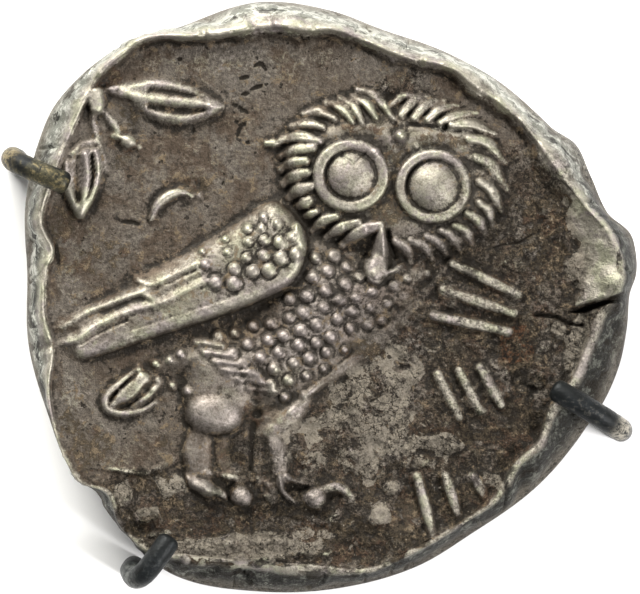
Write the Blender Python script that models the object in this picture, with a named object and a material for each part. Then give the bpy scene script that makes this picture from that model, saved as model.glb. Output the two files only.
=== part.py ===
"""A struck silver coin lying owl side up, with the three wire hooks that hold it in a display.

Lengths are in millimetres until the meshes are written, in metres. The coin's own plane
has x to the right and y to the top of the owl, measured from near the coin's middle.
"""
import math

import bmesh
import bpy
import numpy as np

MM = 0.001

# The coin's levels, from the surface that it lies on.
FIELD_Z = 4.0
GIRDLE_Z = 2.35
FLAT_Z = 0.0
BELLY_Z = 0.42

# The coin's middle in its own plane, and where that plane's zero lies in the part's frame.
MIDDLE = (-0.2, 0.0)
PLACE = (0.4415, 0.0375)

# Grid squares along a side of each face before it is thinned, and the triangles left after.
FACE_SQUARES = 180
COIN_TRIANGLES = 8500
# The share of the owl side's rings that lies inside the rim's crest.
CREST_SHARE = 0.88

# The hooks' wire, the steps between two of its points, and each hook's points from the tip
# on the coin's face, over the rim and down to the foot, which is cut off flat.
WIRE_RADIUS = 0.47
WIRE_STEPS = 3
HOOKS = {
    "display_hook_left": [
        (-10.6, 4.5, 5.25), (-11.5, 4.87, 5.36), (-12.4, 5.25, 5.18), (-12.85, 5.5, 4.65),
        (-12.93, 5.6, 3.8), (-12.93, 5.6, 2.3), (-12.93, 5.6, 0.0),
    ],
    "display_hook_right": [
        (8.95, -3.7, 5.4), (9.8, -4.2, 5.56), (10.9, -4.87, 5.42), (11.6, -5.32, 4.8),
        (11.78, -5.45, 3.9), (11.78, -5.45, 2.3), (11.78, -5.45, 0.0),
    ],
    "display_hook_lower": [
        (-6.45, -9.75, 5.2), (-6.95, -10.45, 5.35), (-7.5, -11.15, 5.18), (-7.9, -11.4, 4.6),
        (-8.1, -11.2, 3.8), (-8.1, -11.15, 2.3), (-8.1, -11.15, 0.0),
    ],
}

# The widest line of the coin, and the crest of the rim that the die left, both anticlockwise.
GIRDLE = [
    (12.47, 0.9), (12.45, 1.8), (12.2, 2.6), (11.3, 3.4), (10.6, 4.94), (10.0, 6.2), (9.0, 6.9),
    (6.6, 8.95), (4.84, 9.9), (2.2, 10.85), (0.0, 11.66), (-3.0, 12.0), (-6.0, 11.05),
    (-7.6, 10.6), (-9.0, 9.95), (-11.2, 7.9), (-11.9, 6.4), (-12.48, 3.7), (-12.4, 0.9),
    (-12.36, -1.9), (-11.6, -4.7), (-10.5, -7.3), (-9.45, -8.1), (-9.3, -8.55), (-8.4, -9.7),
    (-6.5, -11.35), (-3.0, -12.06), (0.5, -11.9), (3.6, -11.0), (5.9, -9.6), (8.7, -7.5),
    (10.4, -5.4), (11.2, -4.2), (11.8, -2.75), (12.1, -1.2), (12.2, 0.05),
]
CREST = [
    (11.75, 1.2), (11.3, 2.5), (10.3, 3.7), (9.0, 5.4), (7.8, 7.05), (5.9, 8.5), (5.0, 9.2),
    (2.9, 9.75), (1.35, 10.4), (0.1, 10.84), (-1.0, 10.8), (-2.3, 10.98), (-4.4, 10.65),
    (-5.8, 10.55), (-7.4, 10.5), (-8.6, 9.8), (-9.5, 8.95), (-9.95, 8.1), (-10.4, 7.2),
    (-10.95, 5.9), (-11.5, 4.4), (-11.8, 3.0), (-11.35, 1.9), (-11.65, 1.0), (-11.7, -0.65),
    (-11.35, -2.2), (-11.5, -3.9), (-10.9, -6.4), (-10.2, -7.5), (-9.0, -8.05), (-8.6, -9.2),
    (-7.4, -10.35), (-5.8, -10.6), (-3.2, -10.85), (-1.0, -11.0), (1.6, -11.15), (3.4, -10.35),
    (5.4, -9.2), (6.6, -8.3), (7.5, -6.9), (8.5, -5.9), (8.9, -4.7), (9.9, -3.3),
    (10.45, -2.0), (10.9, -0.9), (11.55, 0.1),
]
# The rim by compass bearing: degrees from +x, height over the field, width of its inner slope.
RIM = [
    (-12, 0.7, 0.6), (0, 1.1, 1.4), (6, 1.45, 2.0), (14, 1.45, 1.9), (22, 1.25, 1.3),
    (32, 1.05, 0.9), (60, 1.05, 0.75), (80, 1.0, 0.7), (100, 1.05, 0.7), (120, 0.95, 0.7),
    (138, 0.8, 0.6), (150, 0.6, 0.6), (165, 0.6, 0.5), (180, 0.55, 0.5), (200, 0.5, 0.45),
    (220, 0.45, 0.6), (240, 0.6, 0.7), (260, 0.55, 0.8), (280, 0.5, 0.8), (300, 0.6, 0.6),
    (320, 0.8, 0.5), (335, 0.8, 0.5),
]
# The split in the rim below the lump on the right.
SPLIT = [(8.9, -0.85), (10.3, -0.55), (12.0, 0.1)]


# ---------------------------------------------------------------- shapes of the relief

def wave(t):
    """0 to 1, level at both ends."""
    t = np.clip(t, 0.0, 1.0)
    return t * t * (3.0 - 2.0 * t)


def round_top(t):
    return np.sqrt(np.clip(1.0 - t * t, 0.0, 1.0))


def soft_top(t):
    return (1.0 - np.clip(t, 0.0, 1.0) ** 2) ** 1.5


def dome_top(t):
    return (1.0 - np.clip(t, 0.0, 1.0) ** 2.6) ** 0.7


def roof_top(t):
    t = np.clip(t, 0.0, 1.0)
    return (1.0 - t) * (1.0 + 0.35 * t)


def flat_top(t):
    return wave((1.0 - np.clip(t, 0.0, 1.0)) / 0.5)


def blend(low, high, reach=0.15):
    """The higher of two surfaces, with a fillet where they cross."""
    fillet = np.clip(1.0 - np.abs(low - high) / reach, 0.0, 1.0) ** 2
    return np.maximum(low, high) + reach / 4.0 * fillet


def curve_through(points, steps=6, closed=False):
    """A smooth line through the points."""
    points = np.asarray(points, float)
    count = len(points)
    if count == 2:
        return points
    share = np.arange(steps)[:, None] / steps
    pieces = []
    for i in range(count if closed else count - 1):
        if closed:
            a, b, c, d = (points[(i + k) % count] for k in (-1, 0, 1, 2))
        else:
            a, b, c, d = (points[min(max(i + k, 0), count - 1)] for k in (-1, 0, 1, 2))
        pieces.append(0.5 * (2.0 * b + (c - a) * share
                             + (2.0 * a - 5.0 * b + 4.0 * c - d) * share ** 2
                             + (3.0 * b - a - 3.0 * c + d) * share ** 3))
    if not closed:
        pieces.append(points[-1:])
    return np.concatenate(pieces)


def nearest(line, x, y):
    """Each point's distance to the line, its share of the way along, and its side of it."""
    steps = np.diff(line, axis=0)
    lengths = np.hypot(steps[:, 0], steps[:, 1])
    starts = np.concatenate([[0.0], np.cumsum(lengths)])
    best = np.full(x.shape, np.inf)
    along = np.zeros(x.shape)
    side = np.ones(x.shape)
    for (ax, ay), (dx, dy), length, start in zip(line, steps, lengths, starts):
        px, py = x - ax, y - ay
        t = np.clip((px * dx + py * dy) / length ** 2, 0.0, 1.0)
        away = np.hypot(px - t * dx, py - t * dy)
        closer = away < best
        best = np.where(closer, away, best)
        along = np.where(closer, (start + t * length) / starts[-1], along)
        side = np.where(closer, np.sign(dx * py - dy * px), side)
    return best, along, side


def inside(line, x, y):
    """Whether each point is inside the closed line."""
    found = np.zeros(x.shape, bool)
    for (ax, ay), (bx, by) in zip(line, np.roll(line, -1, axis=0)):
        if ay == by:
            continue
        crosses = (ay > y) != (by > y)
        found ^= crosses & (x < ax + (y - ay) * (bx - ax) / (by - ay))
    return found


def around(bearings, values):
    """A smooth closed curve of values by bearing, in radians, as a function."""
    order = np.argsort(bearings)
    bearings, values = bearings[order], values[order]
    turn = 2.0 * math.pi
    angle = np.concatenate([bearings[-2:] - turn, bearings, bearings[:2] + turn])
    value = np.concatenate([values[-2:], values, values[:2]])
    slope = np.zeros(len(angle))
    slope[1:-1] = (value[2:] - value[:-2]) / (angle[2:] - angle[:-2])

    def at(bearing):
        bearing = (bearing + math.pi) % turn - math.pi
        i = np.clip(np.searchsorted(angle, bearing, side="right") - 1, 1, len(angle) - 3)
        gap = angle[i + 1] - angle[i]
        t = (bearing - angle[i]) / gap
        return ((2 * t ** 3 - 3 * t ** 2 + 1) * value[i]
                + (t ** 3 - 2 * t ** 2 + t) * gap * slope[i]
                + (3 * t ** 2 - 2 * t ** 3) * value[i + 1]
                + (t ** 3 - t ** 2) * gap * slope[i + 1])
    return at


def around_outline(points):
    """The radius of an outline about the coin's middle, by bearing."""
    offsets = np.asarray(points) - MIDDLE
    return around(np.arctan2(offsets[:, 1], offsets[:, 0]), np.hypot(offsets[:, 0], offsets[:, 1]))


def around_rim(column):
    rim = np.asarray(RIM, float)
    bearings = np.radians((rim[:, 0] + 180.0) % 360.0 - 180.0)
    return around(bearings, rim[:, column])


class Layer:
    """Heights at the points x, y. Each shape added keeps the higher of itself and what is there."""

    def __init__(self, x, y):
        self.x = x
        self.y = y
        self.z = np.zeros_like(x)

    def near(self, points, reach):
        points = np.asarray(points)
        low = points.min(axis=0) - reach
        high = points.max(axis=0) + reach
        return np.nonzero((self.x > low[0]) & (self.x < high[0])
                          & (self.y > low[1]) & (self.y < high[1]))[0]

    def stroke(self, points, width, height, top=round_top, taper=(1.0, 1.0), lean=1.0):
        """A ridge along a line, width to each side. taper is the share of the width left at the
        two ends, and lean widens the slope on the left of the way along it. A negative height
        is a groove."""
        line = curve_through(points)
        here = self.near(line, width * max(1.0, lean))
        away, along, side = nearest(line, self.x[here], self.y[here])
        first = taper[0] + (1.0 - taper[0]) * wave(along / 0.45)
        last = taper[1] + (1.0 - taper[1]) * wave((1.0 - along) / 0.45)
        share = np.minimum(first, last)
        half = width * share * np.where(side > 0.0, lean, 1.0)
        self.keep(here, height * np.sqrt(share) * top(away / half))

    def dot(self, x, y, radius, height, top=round_top, radius_y=None):
        here = self.near([(x, y)], max(radius, radius_y or radius))
        away = np.hypot((self.x[here] - x) / radius, (self.y[here] - y) / (radius_y or radius))
        self.keep(here, height * top(away))

    def ring(self, x, y, radius_x, radius_y, hole, height):
        """A rounded band between an oval and its hole, hole being a share of the radius."""
        here = self.near([(x, y)], max(radius_x, radius_y))
        away = np.hypot((self.x[here] - x) / radius_x, (self.y[here] - y) / radius_y)
        off = np.abs(away - (1.0 + hole) / 2.0) / ((1.0 - hole) / 2.0)
        self.keep(here, height * (1.0 - np.clip(off, 0.0, 1.0) ** 3) ** 0.8)

    def mass(self, outline, height, edge, power):
        """A pillow inside a closed outline, which reaches its height at edge from it."""
        line = curve_through(outline, closed=True)
        here = self.near(line, 0.0)
        here = here[inside(line, self.x[here], self.y[here])]
        away = nearest(np.vstack([line, line[:1]]), self.x[here], self.y[here])[0]
        rise = (1.0 - (1.0 - np.clip(away / edge, 0.0, 1.0)) ** power) ** (1.0 / power)
        level = height(self.x[here], self.y[here]) if callable(height) else height
        self.keep(here, level * rise)

    def keep(self, here, shape):
        cut = shape < 0.0
        self.z[here] = np.where(cut, np.minimum(self.z[here], shape), np.maximum(self.z[here], shape))

    def feathers(self, first, last, count, width, height, bend, taper=(0.6, 0.6)):
        """A run of bent strokes, from root to tip, spread evenly from the first to the last."""
        for share in np.linspace(0.0, 1.0, count):
            root, tip = np.asarray(first) * (1.0 - share) + np.asarray(last) * share
            way = tip - root
            middle = (root + tip) / 2.0 + bend * np.array([-way[1], way[0]])
            self.stroke([root, middle, tip], width, height, taper=taper)


def one_mass(x, y, outline, height, edge, power):
    layer = Layer(x, y)
    layer.mass(outline, height, edge, power)
    return layer.z


# ---------------------------------------------------------------- the owl side

HEAD = [
    (-2.0, 3.6), (-2.55, 4.6), (-2.75, 6.2), (-1.75, 7.2), (-0.3, 8.05), (1.05, 8.6), (2.6, 8.45),
    (4.2, 8.5), (5.6, 8.0), (6.9, 6.8), (7.4, 5.4), (7.35, 4.2), (7.0, 3.1), (6.2, 2.2),
    (5.2, 1.6), (4.0, 1.3), (3.0, 1.2), (1.6, 1.6), (0.0, 2.0), (-1.3, 2.7),
]
BREAST = [
    (-1.2, 2.6), (0.6, 2.2), (2.4, 1.9), (4.5, 1.35), (3.9, 0.0), (2.6, -1.5), (0.6, -3.3),
    (-1.2, -4.6), (-2.8, -4.9), (-4.6, -3.6), (-6.4, -3.3), (-7.4, -3.3), (-7.2, -2.5),
    (-5.5, -1.5), (-3.2, -0.6),
]
WING = [
    (-0.85, 1.9), (-1.5, 0.45), (-3.2, -0.4), (-5.0, -1.05), (-7.0, -1.7), (-9.0, -2.4),
    (-10.3, -2.65), (-10.95, -1.8), (-10.5, -0.7), (-8.6, 0.35), (-7.9, 0.9), (-6.0, 1.85),
    (-4.0, 3.0), (-2.7, 3.85), (-1.9, 3.8), (-1.2, 3.0),
]
THIGH = [
    (-5.7, -2.2), (-4.2, -1.7), (-2.9, -2.5), (-2.8, -3.8), (-3.3, -5.0), (-4.9, -5.75),
    (-6.1, -4.7), (-6.0, -3.4),
]
FAR_THIGH = [
    (-3.2, -4.9), (-2.4, -4.2), (-1.0, -3.5), (-0.4, -3.8), (-1.0, -5.0), (-1.6, -5.9),
    (-2.6, -6.1), (-2.9, -5.5),
]
TAIL = [
    (-9.28, -4.3), (-9.1, -4.7), (-8.71, -4.85), (-8.0, -4.8), (-7.3, -4.2), (-6.9, -3.6),
    (-7.4, -3.1), (-7.86, -2.95), (-8.6, -3.4), (-9.1, -3.9),
]
LEVEL_LEAF = [
    (-9.3, 8.42), (-8.4, 8.6), (-7.17, 8.85), (-6.03, 8.68), (-5.1, 8.25), (-4.4, 7.75),
    (-4.6, 7.3), (-5.5, 7.05), (-6.4, 6.95), (-7.2, 7.15), (-8.0, 7.7),
]
HANGING_LEAF = [
    (-10.0, 6.1), (-10.6, 5.2), (-10.85, 4.1), (-10.3, 3.1), (-9.6, 3.9), (-9.3, 5.2), (-9.45, 6.0),
]


def wing_height(x, y):
    """The wing sinks from the shoulder to the tip."""
    along = np.clip((-1.5 - x + 0.37 * (1.5 - y)) / 10.2, 0.0, 1.0)
    return 0.95 - 0.53 * along


def owl_forms(x, y):
    """The broad forms of the owl, over the field."""
    legs = Layer(x, y)
    legs.stroke([(-5.0, -5.2), (-5.2, -6.3), (-5.1, -7.6)], 0.95, 0.40, top=soft_top)
    legs.stroke([(-5.15, -5.5), (-5.2, -6.2), (-4.98, -7.0), (-5.05, -7.6)], 0.36, 0.52,
                taper=(0.6, 1.0))
    legs.stroke([(-1.9, -5.2), (-2.15, -6.1), (-2.1, -7.3)], 0.75, 0.36, top=soft_top)
    legs.stroke([(-0.9, -3.95), (-1.6, -4.85), (-2.3, -5.3)], 0.42, 0.55, taper=(0.4, 0.7))
    legs.stroke([(-2.2, -5.6), (-2.05, -6.3), (-1.93, -6.8), (-2.0, -7.4)], 0.34, 0.50,
                taper=(0.6, 1.0))
    legs.mass([(-3.3, -7.35), (-2.5, -7.1), (-1.85, -7.35), (-1.8, -7.9), (-2.45, -8.6)],
              0.40, 0.5, 1.4)
    legs.dot(-4.81, -4.8, 1.08, 0.95, top=dome_top, radius_y=0.88)
    forms = legs.z
    for outline, height, edge, power in (
            (BREAST, 0.80, 2.3, 1.3), (THIGH, 0.66, 1.3, 1.6), (FAR_THIGH, 0.42, 0.9, 1.5),
            (TAIL, 0.38, 0.45, 1.8), (WING, wing_height, 1.15, 1.7), (HEAD, 0.66, 1.5, 1.6)):
        forms = blend(forms, one_mass(x, y, outline, height, edge, power))
    return forms


def face(layer):
    """Eyes, beak and the ruff of feathers round the face."""
    layer.ring(0.78, 4.94, 1.56, 1.46, 0.67, 0.40)
    layer.dot(0.92, 4.9, 0.90, 0.60, top=dome_top)
    layer.ring(4.11, 4.47, 1.54, 1.50, 0.71, 0.40)
    layer.dot(4.1, 4.4, 0.98, 0.60, top=dome_top)
    layer.dot(2.8, 6.58, 0.27, 0.42)
    layer.feathers([(-1.05, 5.88), (-2.05, 5.6)], [(-0.5, 3.42), (-1.2, 3.2)], 6, 0.23, 0.42, -0.12)
    layer.feathers([(-0.45, 6.42), (-2.1, 6.25)], [(0.35, 7.2), (-1.1, 7.35)], 3, 0.2, 0.42, -0.16)
    layer.feathers([(1.15, 6.95), (-0.1, 7.75)], [(2.45, 7.2), (1.05, 8.4)], 3, 0.2, 0.42, -0.1)
    layer.feathers([(2.75, 7.15), (3.95, 8.2)], [(3.9, 7.0), (4.9, 7.75)], 4, 0.17, 0.42, 0.12)
    layer.feathers([(4.15, 7.0), (5.95, 7.5)], [(5.0, 6.6), (6.65, 6.65)], 3, 0.17, 0.42, 0.16)
    layer.feathers([(5.6, 6.2), (7.1, 5.6)], [(5.5, 3.3), (6.2, 2.8)], 6, 0.2, 0.42, 0.2)
    layer.feathers([(5.1, 2.9), (5.8, 2.35)], [(2.75, 2.4), (3.3, 1.6)], 5, 0.2, 0.42, 0.1)
    layer.feathers([(0.4, 3.15), (-0.95, 2.5)], [(1.95, 2.95), (0.6, 2.1)], 3, 0.24, 0.42, 0.05)
    layer.stroke([(2.05, 3.0), (1.95, 2.0), (1.78, 1.1), (1.75, 0.95)], 0.5, 0.5, taper=(0.35, 1.0))


def wing_feathers(layer):
    """The smooth band round the shoulder and along the lower edge, and the long feathers."""
    layer.stroke([(-1.75, 3.2), (-1.25, 2.4), (-1.12, 1.5), (-1.75, 0.6), (-2.9, 0.12),
                  (-4.2, -0.38), (-6.0, -1.0), (-7.8, -1.55), (-9.2, -2.05), (-10.4, -2.55)],
                 0.52, 0.30, taper=(0.5, 0.4))
    quills = (
        [(-5.1, 1.42), (-6.4, 0.82), (-7.3, 0.48), (-7.95, 0.75)],
        [(-5.0, 0.65), (-6.0, 0.28), (-6.97, -0.1), (-7.5, 0.22)],
        [(-7.5, 0.25), (-8.0, 0.12), (-9.0, -0.27), (-9.8, -0.49), (-10.47, -0.87), (-10.9, -1.3)],
        [(-7.35, -0.43), (-8.5, -0.7), (-9.26, -1.03), (-10.14, -1.42), (-10.96, -1.96)],
    )
    for quill in quills:
        layer.stroke(quill, 0.42, 0.30, top=roof_top, lean=0.3)


def wing_dots(layer):
    """Slanting rows of dots that shrink up the wing and away from the shoulder."""
    for row, count in enumerate((3, 4, 4, 3, 3, 2)):
        back = row / 5.0
        low = np.array([-1.55 - 3.3 * back, 1.55 - 1.0 * back + 0.15 * math.sin(math.pi * back)])
        high = np.array([-2.1 - 3.2 * back, 3.15 - 1.55 * back])
        for up in np.linspace(0.0, 1.0, count):
            radius = (0.31 - 0.13 * up) * (1.0 - 0.25 * back)
            layer.dot(*(low + (high - low) * up), radius, 0.9 * radius)


def breast_dots(layer):
    """Staggered rows of dots across the breast, smaller towards its right edge."""
    patch = curve_through([
        (-1.0, 2.0), (0.4, 2.0), (1.3, 1.2), (2.6, 1.1), (4.0, 1.0), (3.5, 0.2), (1.6, -1.6),
        (-0.2, -3.2), (-1.4, -4.0), (-2.6, -4.1), (-3.1, -3.4), (-3.4, -2.5), (-4.6, -2.0),
        (-4.6, -1.4), (-3.0, -0.9), (-1.9, -0.1), (-1.1, 0.6)], closed=True)
    down = np.array([-0.68, -0.73])
    across = np.array([0.74, -0.67])
    for row in range(-6, 12):
        for place in range(-3, 12):
            spot = np.array([-0.75, 1.6]) + 0.60 * row * down
            spot = spot + (0.68 * place + 0.34 * (row % 2)) * across
            if inside(patch, spot[:1], spot[1:])[0]:
                radius = 0.30 - 0.14 * min(max(spot @ across / 3.6, 0.0), 1.0) ** 1.5
                layer.dot(*spot, radius, 0.9 * radius)


def feet(layer):
    layer.stroke([(-4.93, -7.15), (-4.0, -7.36), (-3.2, -7.4)], 0.15, 0.26, taper=(0.6, 0.6))
    layer.stroke([(-5.5, -7.6), (-4.95, -7.88), (-4.25, -8.15)], 0.36, 0.48, taper=(0.8, 0.6))
    layer.dot(-3.63, -8.13, 0.50, 0.52)
    layer.stroke([(-2.05, -7.35), (-1.97, -7.88), (-1.4, -8.45)], 0.17, 0.34, taper=(1.0, 0.4))
    layer.stroke([(-1.8, -7.3), (-1.4, -7.52), (-0.83, -7.6)], 0.15, 0.26, taper=(1.0, 0.6))
    layer.dot(-0.67, -8.2, 0.52, 0.52, radius_y=0.45)
    layer.stroke([(-0.35, -7.85), (0.23, -7.72), (0.67, -7.97), (1.0, -8.42)], 0.2, 0.36,
                 taper=(1.0, 0.35))


def sprig_and_crescent(x, y):
    """The olive sprig and the crescent behind the owl's head."""
    leaves = Layer(x, y)
    leaves.mass(LEVEL_LEAF, 0.34, 0.7, 1.5)
    leaves.mass(HANGING_LEAF, 0.34, 0.6, 1.5)
    leaves.mass([(-9.95, 8.3), (-9.4, 8.5), (-9.15, 7.9), (-9.2, 7.4), (-9.7, 7.2), (-10.0, 7.6)],
                0.35, 0.35, 1.8)
    ribs = Layer(x, y)
    ribs.stroke([(-9.0, 8.4), (-8.4, 8.46), (-7.17, 8.75), (-6.03, 8.58), (-5.2, 8.2), (-4.6, 7.7)],
                0.17, 0.2)
    ribs.stroke([(-9.0, 8.3), (-8.2, 8.12), (-7.17, 8.05), (-6.0, 7.95), (-4.9, 7.8)], 0.17, 0.22)
    ribs.stroke([(-8.5, 8.1), (-7.9, 7.75), (-7.0, 7.22), (-6.3, 7.1), (-5.46, 7.2), (-4.75, 7.5)],
                0.17, 0.18)
    ribs.stroke([(-9.75, 6.1), (-9.85, 5.0), (-10.0, 4.0), (-10.25, 3.25)], 0.14, 0.22)
    ribs.stroke([(-9.5, 5.9), (-9.42, 5.0), (-9.7, 4.0), (-10.2, 3.2)], 0.13, 0.2)
    ribs.stroke([(-10.1, 6.0), (-10.5, 5.0), (-10.72, 4.0), (-10.35, 3.2)], 0.13, 0.2)
    ribs.stroke([(-9.25, 7.3), (-8.95, 7.1), (-8.6, 6.5)], 0.2, 0.35)
    ribs.dot(-8.14, 6.33, 0.33, 0.5)
    ribs.stroke([(-7.3, 3.07), (-7.13, 3.56), (-6.75, 3.97), (-6.2, 4.2), (-5.65, 4.05)],
                0.22, 0.35, taper=(0.5, 0.5))
    return leaves.z + ribs.z


def plain_strokes(layer):
    """Three short rows of slanting strokes at the right of the owl."""
    for row in range(3):
        layer.stroke([(4.95 - 0.4 * row, 1.3 - 1.05 * row), (7.6 - 0.2 * row, 0.05 - 0.75 * row)],
                     0.26, 0.42, top=flat_top, taper=(0.8, 0.8))
        layer.stroke([(4.35 + 0.85 * row, -3.2 + 0.15 * row), (5.2 + 0.85 * row, -4.9 + 0.25 * row)],
                     0.26, 0.42, top=flat_top, taper=(0.8, 0.8))
        layer.stroke([(3.5 + 1.15 * row, -7.3), (4.1 + 1.05 * row, -9.6 + 0.75 * row)],
                     0.26, 0.42, top=flat_top, taper=(0.8, 0.8))


def relief(x, y):
    """The owl side's height over the field, inside the rim's crest."""
    figures = Layer(x, y)
    face(figures)
    wing_feathers(figures)
    wing_dots(figures)
    breast_dots(figures)
    feet(figures)
    plain_strokes(figures)
    slots = Layer(x, y)
    slots.stroke([(-8.94, -4.08), (-7.92, -3.05)], 0.12, -0.3)
    slots.stroke([(-8.77, -4.59), (-8.31, -4.36), (-7.5, -4.0)], 0.13, -0.25, taper=(0.5, 1.0))
    return owl_forms(x, y) + np.maximum(figures.z, sprig_and_crescent(x, y)) + slots.z


def lump(x, y):
    """The swollen corner on the right. It rises towards the edge and breaks off at the split."""
    rise = np.clip((x - 9.4) / 2.0, 0.0, 1.0)
    above = wave((y + 0.85 - 0.31 * (x - 8.9)) / 0.25)
    return 0.55 * rise * above * wave((4.8 - y) / 2.6)


def owl_side(bearing, share):
    """Points of the owl side and of the coin's edge down to the girdle, share 1 from the middle."""
    crest = around_outline(CREST)(bearing)
    girdle = around_outline(GIRDLE)(bearing)
    over = np.clip((share - CREST_SHARE) / (1.0 - CREST_SHARE), 0.0, 1.0)
    radius = crest * np.minimum(share / CREST_SHARE, 1.0)
    x = MIDDLE[0] + radius * np.cos(bearing)
    y = MIDDLE[1] + radius * np.sin(bearing)
    slope = 1.0 - wave((crest - radius) / around_rim(2)(bearing))
    rim = around_rim(1)(bearing) * slope + lump(x, y)
    split = Layer(x, y)
    split.stroke(SPLIT, 0.22, -0.55, top=soft_top, taper=(0.3, 1.0))
    top = FIELD_Z + blend(rim, relief(x, y)) + split.z
    out = (girdle - crest) * (0.35 * over + 0.65 * np.sin(over * math.pi / 2.0))
    down = 0.35 * over + 0.65 * (1.0 - np.cos(over * math.pi / 2.0))
    z = top - (top - GIRDLE_Z) * down
    return x + out * np.cos(bearing), y + out * np.sin(bearing), z


# ---------------------------------------------------------------- the side that it lies on

HELMET_AND_NECK = [
    (0.2, 8.1), (-2.6, 7.7), (-4.9, 5.8), (-5.9, 2.9), (-5.6, -0.3), (-4.8, -2.9), (-4.6, -5.2),
    (-4.4, -7.1), (-1.2, -8.2), (2.4, -7.5), (2.1, -6.2), (2.5, -5.2), (3.6, -4.95), (4.35, -4.4),
    (4.4, -3.6), (4.65, -2.8), (4.6, -2.1), (5.2, -1.5), (5.0, -0.5), (4.75, 0.7), (4.9, 2.3),
    (4.5, 4.7), (2.9, 7.0),
]


def worn_head(x, y):
    """A plain helmeted head in profile, turned to face +x when this side is seen upright."""
    head = Layer(-x, y)
    head.mass(HELMET_AND_NECK, 0.55, 0.8, 1.8)
    crest = Layer(-x, y)
    crest.stroke([(-5.6, -3.6), (-7.1, 0.2), (-6.9, 4.2), (-4.6, 7.7), (-0.8, 9.3), (3.4, 8.6)],
                 0.6, 0.45, taper=(0.5, 0.5))
    lines = Layer(-x, y)
    lines.stroke([(4.9, 2.7), (2.6, 2.6), (0.4, 1.7), (-0.9, 0.1), (-2.4, -2.4), (-4.7, -3.7)],
                 0.24, -0.35, top=soft_top)
    lines.stroke([(-4.8, 3.4), (-2.8, 5.2), (-0.2, 5.4), (1.4, 4.1), (0.6, 3.1)], 0.2, -0.25,
                 top=soft_top)
    lines.stroke([(4.2, 0.75), (3.3, 1.1), (2.3, 0.8)], 0.17, -0.28, top=soft_top)
    lines.stroke([(4.1, 0.1), (3.3, 0.35), (2.5, 0.0), (3.3, -0.2), (4.1, 0.1)], 0.13, -0.28,
                 top=soft_top)
    lines.stroke([(4.5, -2.6), (3.9, -2.65), (3.4, -2.55)], 0.15, -0.3, top=soft_top)
    lines.stroke([(2.3, -5.5), (0.8, -4.6), (-0.5, -3.0), (-0.9, -1.6)], 0.2, -0.28, top=soft_top)
    lines.ring(-0.5, -1.2, 0.7, 0.85, 0.6, -0.25)
    return np.maximum(head.z, crest.z) + lines.z


def worn_side(bearing, share):
    """Points of the other side, out to the girdle. It bulges down past the level it is cut at."""
    ratio = 1.0 - (1.0 - share) ** 1.6
    girdle = around_outline(GIRDLE)(bearing)
    x = MIDDLE[0] + girdle * ratio * np.cos(bearing)
    y = MIDDLE[1] + girdle * ratio * np.sin(bearing)
    bowl = 1.0 - np.sqrt(np.clip(1.0 - ratio ** 3.2, 0.0, 1.0))
    z = BELLY_Z + (GIRDLE_Z - BELLY_Z) * bowl - worn_head(x, y) * wave((1.0 - ratio) / 0.1)
    return x, y, z


# ---------------------------------------------------------------- meshes

def coin_face(mesh, place):
    """Adds a square grid whose rings of squares are laid out as rings of the coin."""
    made = bmesh.ops.create_grid(mesh, x_segments=FACE_SQUARES, y_segments=FACE_SQUARES, size=1.0)
    corners = made["verts"]
    a, b = np.array([corner.co[:2] for corner in corners], float).T
    wide = np.abs(a) >= np.abs(b)
    share = np.maximum(np.abs(a), np.abs(b))
    safe = np.where(share > 0.0, share, 1.0)
    lean = math.pi / 4.0 * np.where(wide, b, -a) / safe
    quarter = np.where(wide, 0.0, math.pi / 2.0)
    flip = np.where(np.where(wide, a, b) < 0.0, -1.0, 1.0)
    bearing = np.arctan2(flip * np.sin(quarter + lean * flip), flip * np.cos(quarter + lean * flip))
    for corner, point in zip(corners, np.stack(place(bearing, share), axis=1)):
        corner.co = point * MM


def thinned(obj, triangles):
    """The object's mesh with its flatter parts in larger triangles."""
    thin = obj.modifiers.new("Thin", "DECIMATE")
    thin.ratio = triangles / (2.0 * len(obj.data.polygons))
    bpy.context.view_layer.update()
    graph = bpy.context.evaluated_depsgraph_get()
    mesh = bpy.data.meshes.new_from_object(obj.evaluated_get(graph))
    obj.modifiers.remove(thin)
    return mesh


def cut_flat(mesh, level):
    """Cuts away what bulges below the level, and closes the cut with one flat spot."""
    shape = bmesh.new()
    shape.from_mesh(mesh)
    everything = shape.verts[:] + shape.edges[:] + shape.faces[:]
    bmesh.ops.bisect_plane(shape, geom=everything, dist=1e-7, plane_co=(0.0, 0.0, level * MM),
                           plane_no=(0.0, 0.0, 1.0), clear_inner=True)
    border = [edge for edge in shape.edges if edge.is_boundary]
    for edge in border:
        for corner in edge.verts:
            corner.co.z = level * MM
    bmesh.ops.triangle_fill(shape, use_beauty=True, edges=border, normal=(0.0, 0.0, -1.0))
    bmesh.ops.recalc_face_normals(shape, faces=shape.faces[:])
    shape.to_mesh(mesh)
    shape.free()


def metal(name, colour, roughness, metallic):
    material = bpy.data.materials.new(name)
    material.use_nodes = True
    shader = material.node_tree.nodes["Principled BSDF"]
    shader.inputs["Base Color"].default_value = (*colour, 1.0)
    shader.inputs["Roughness"].default_value = roughness
    shader.inputs["Metallic"].default_value = metallic
    return material


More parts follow.
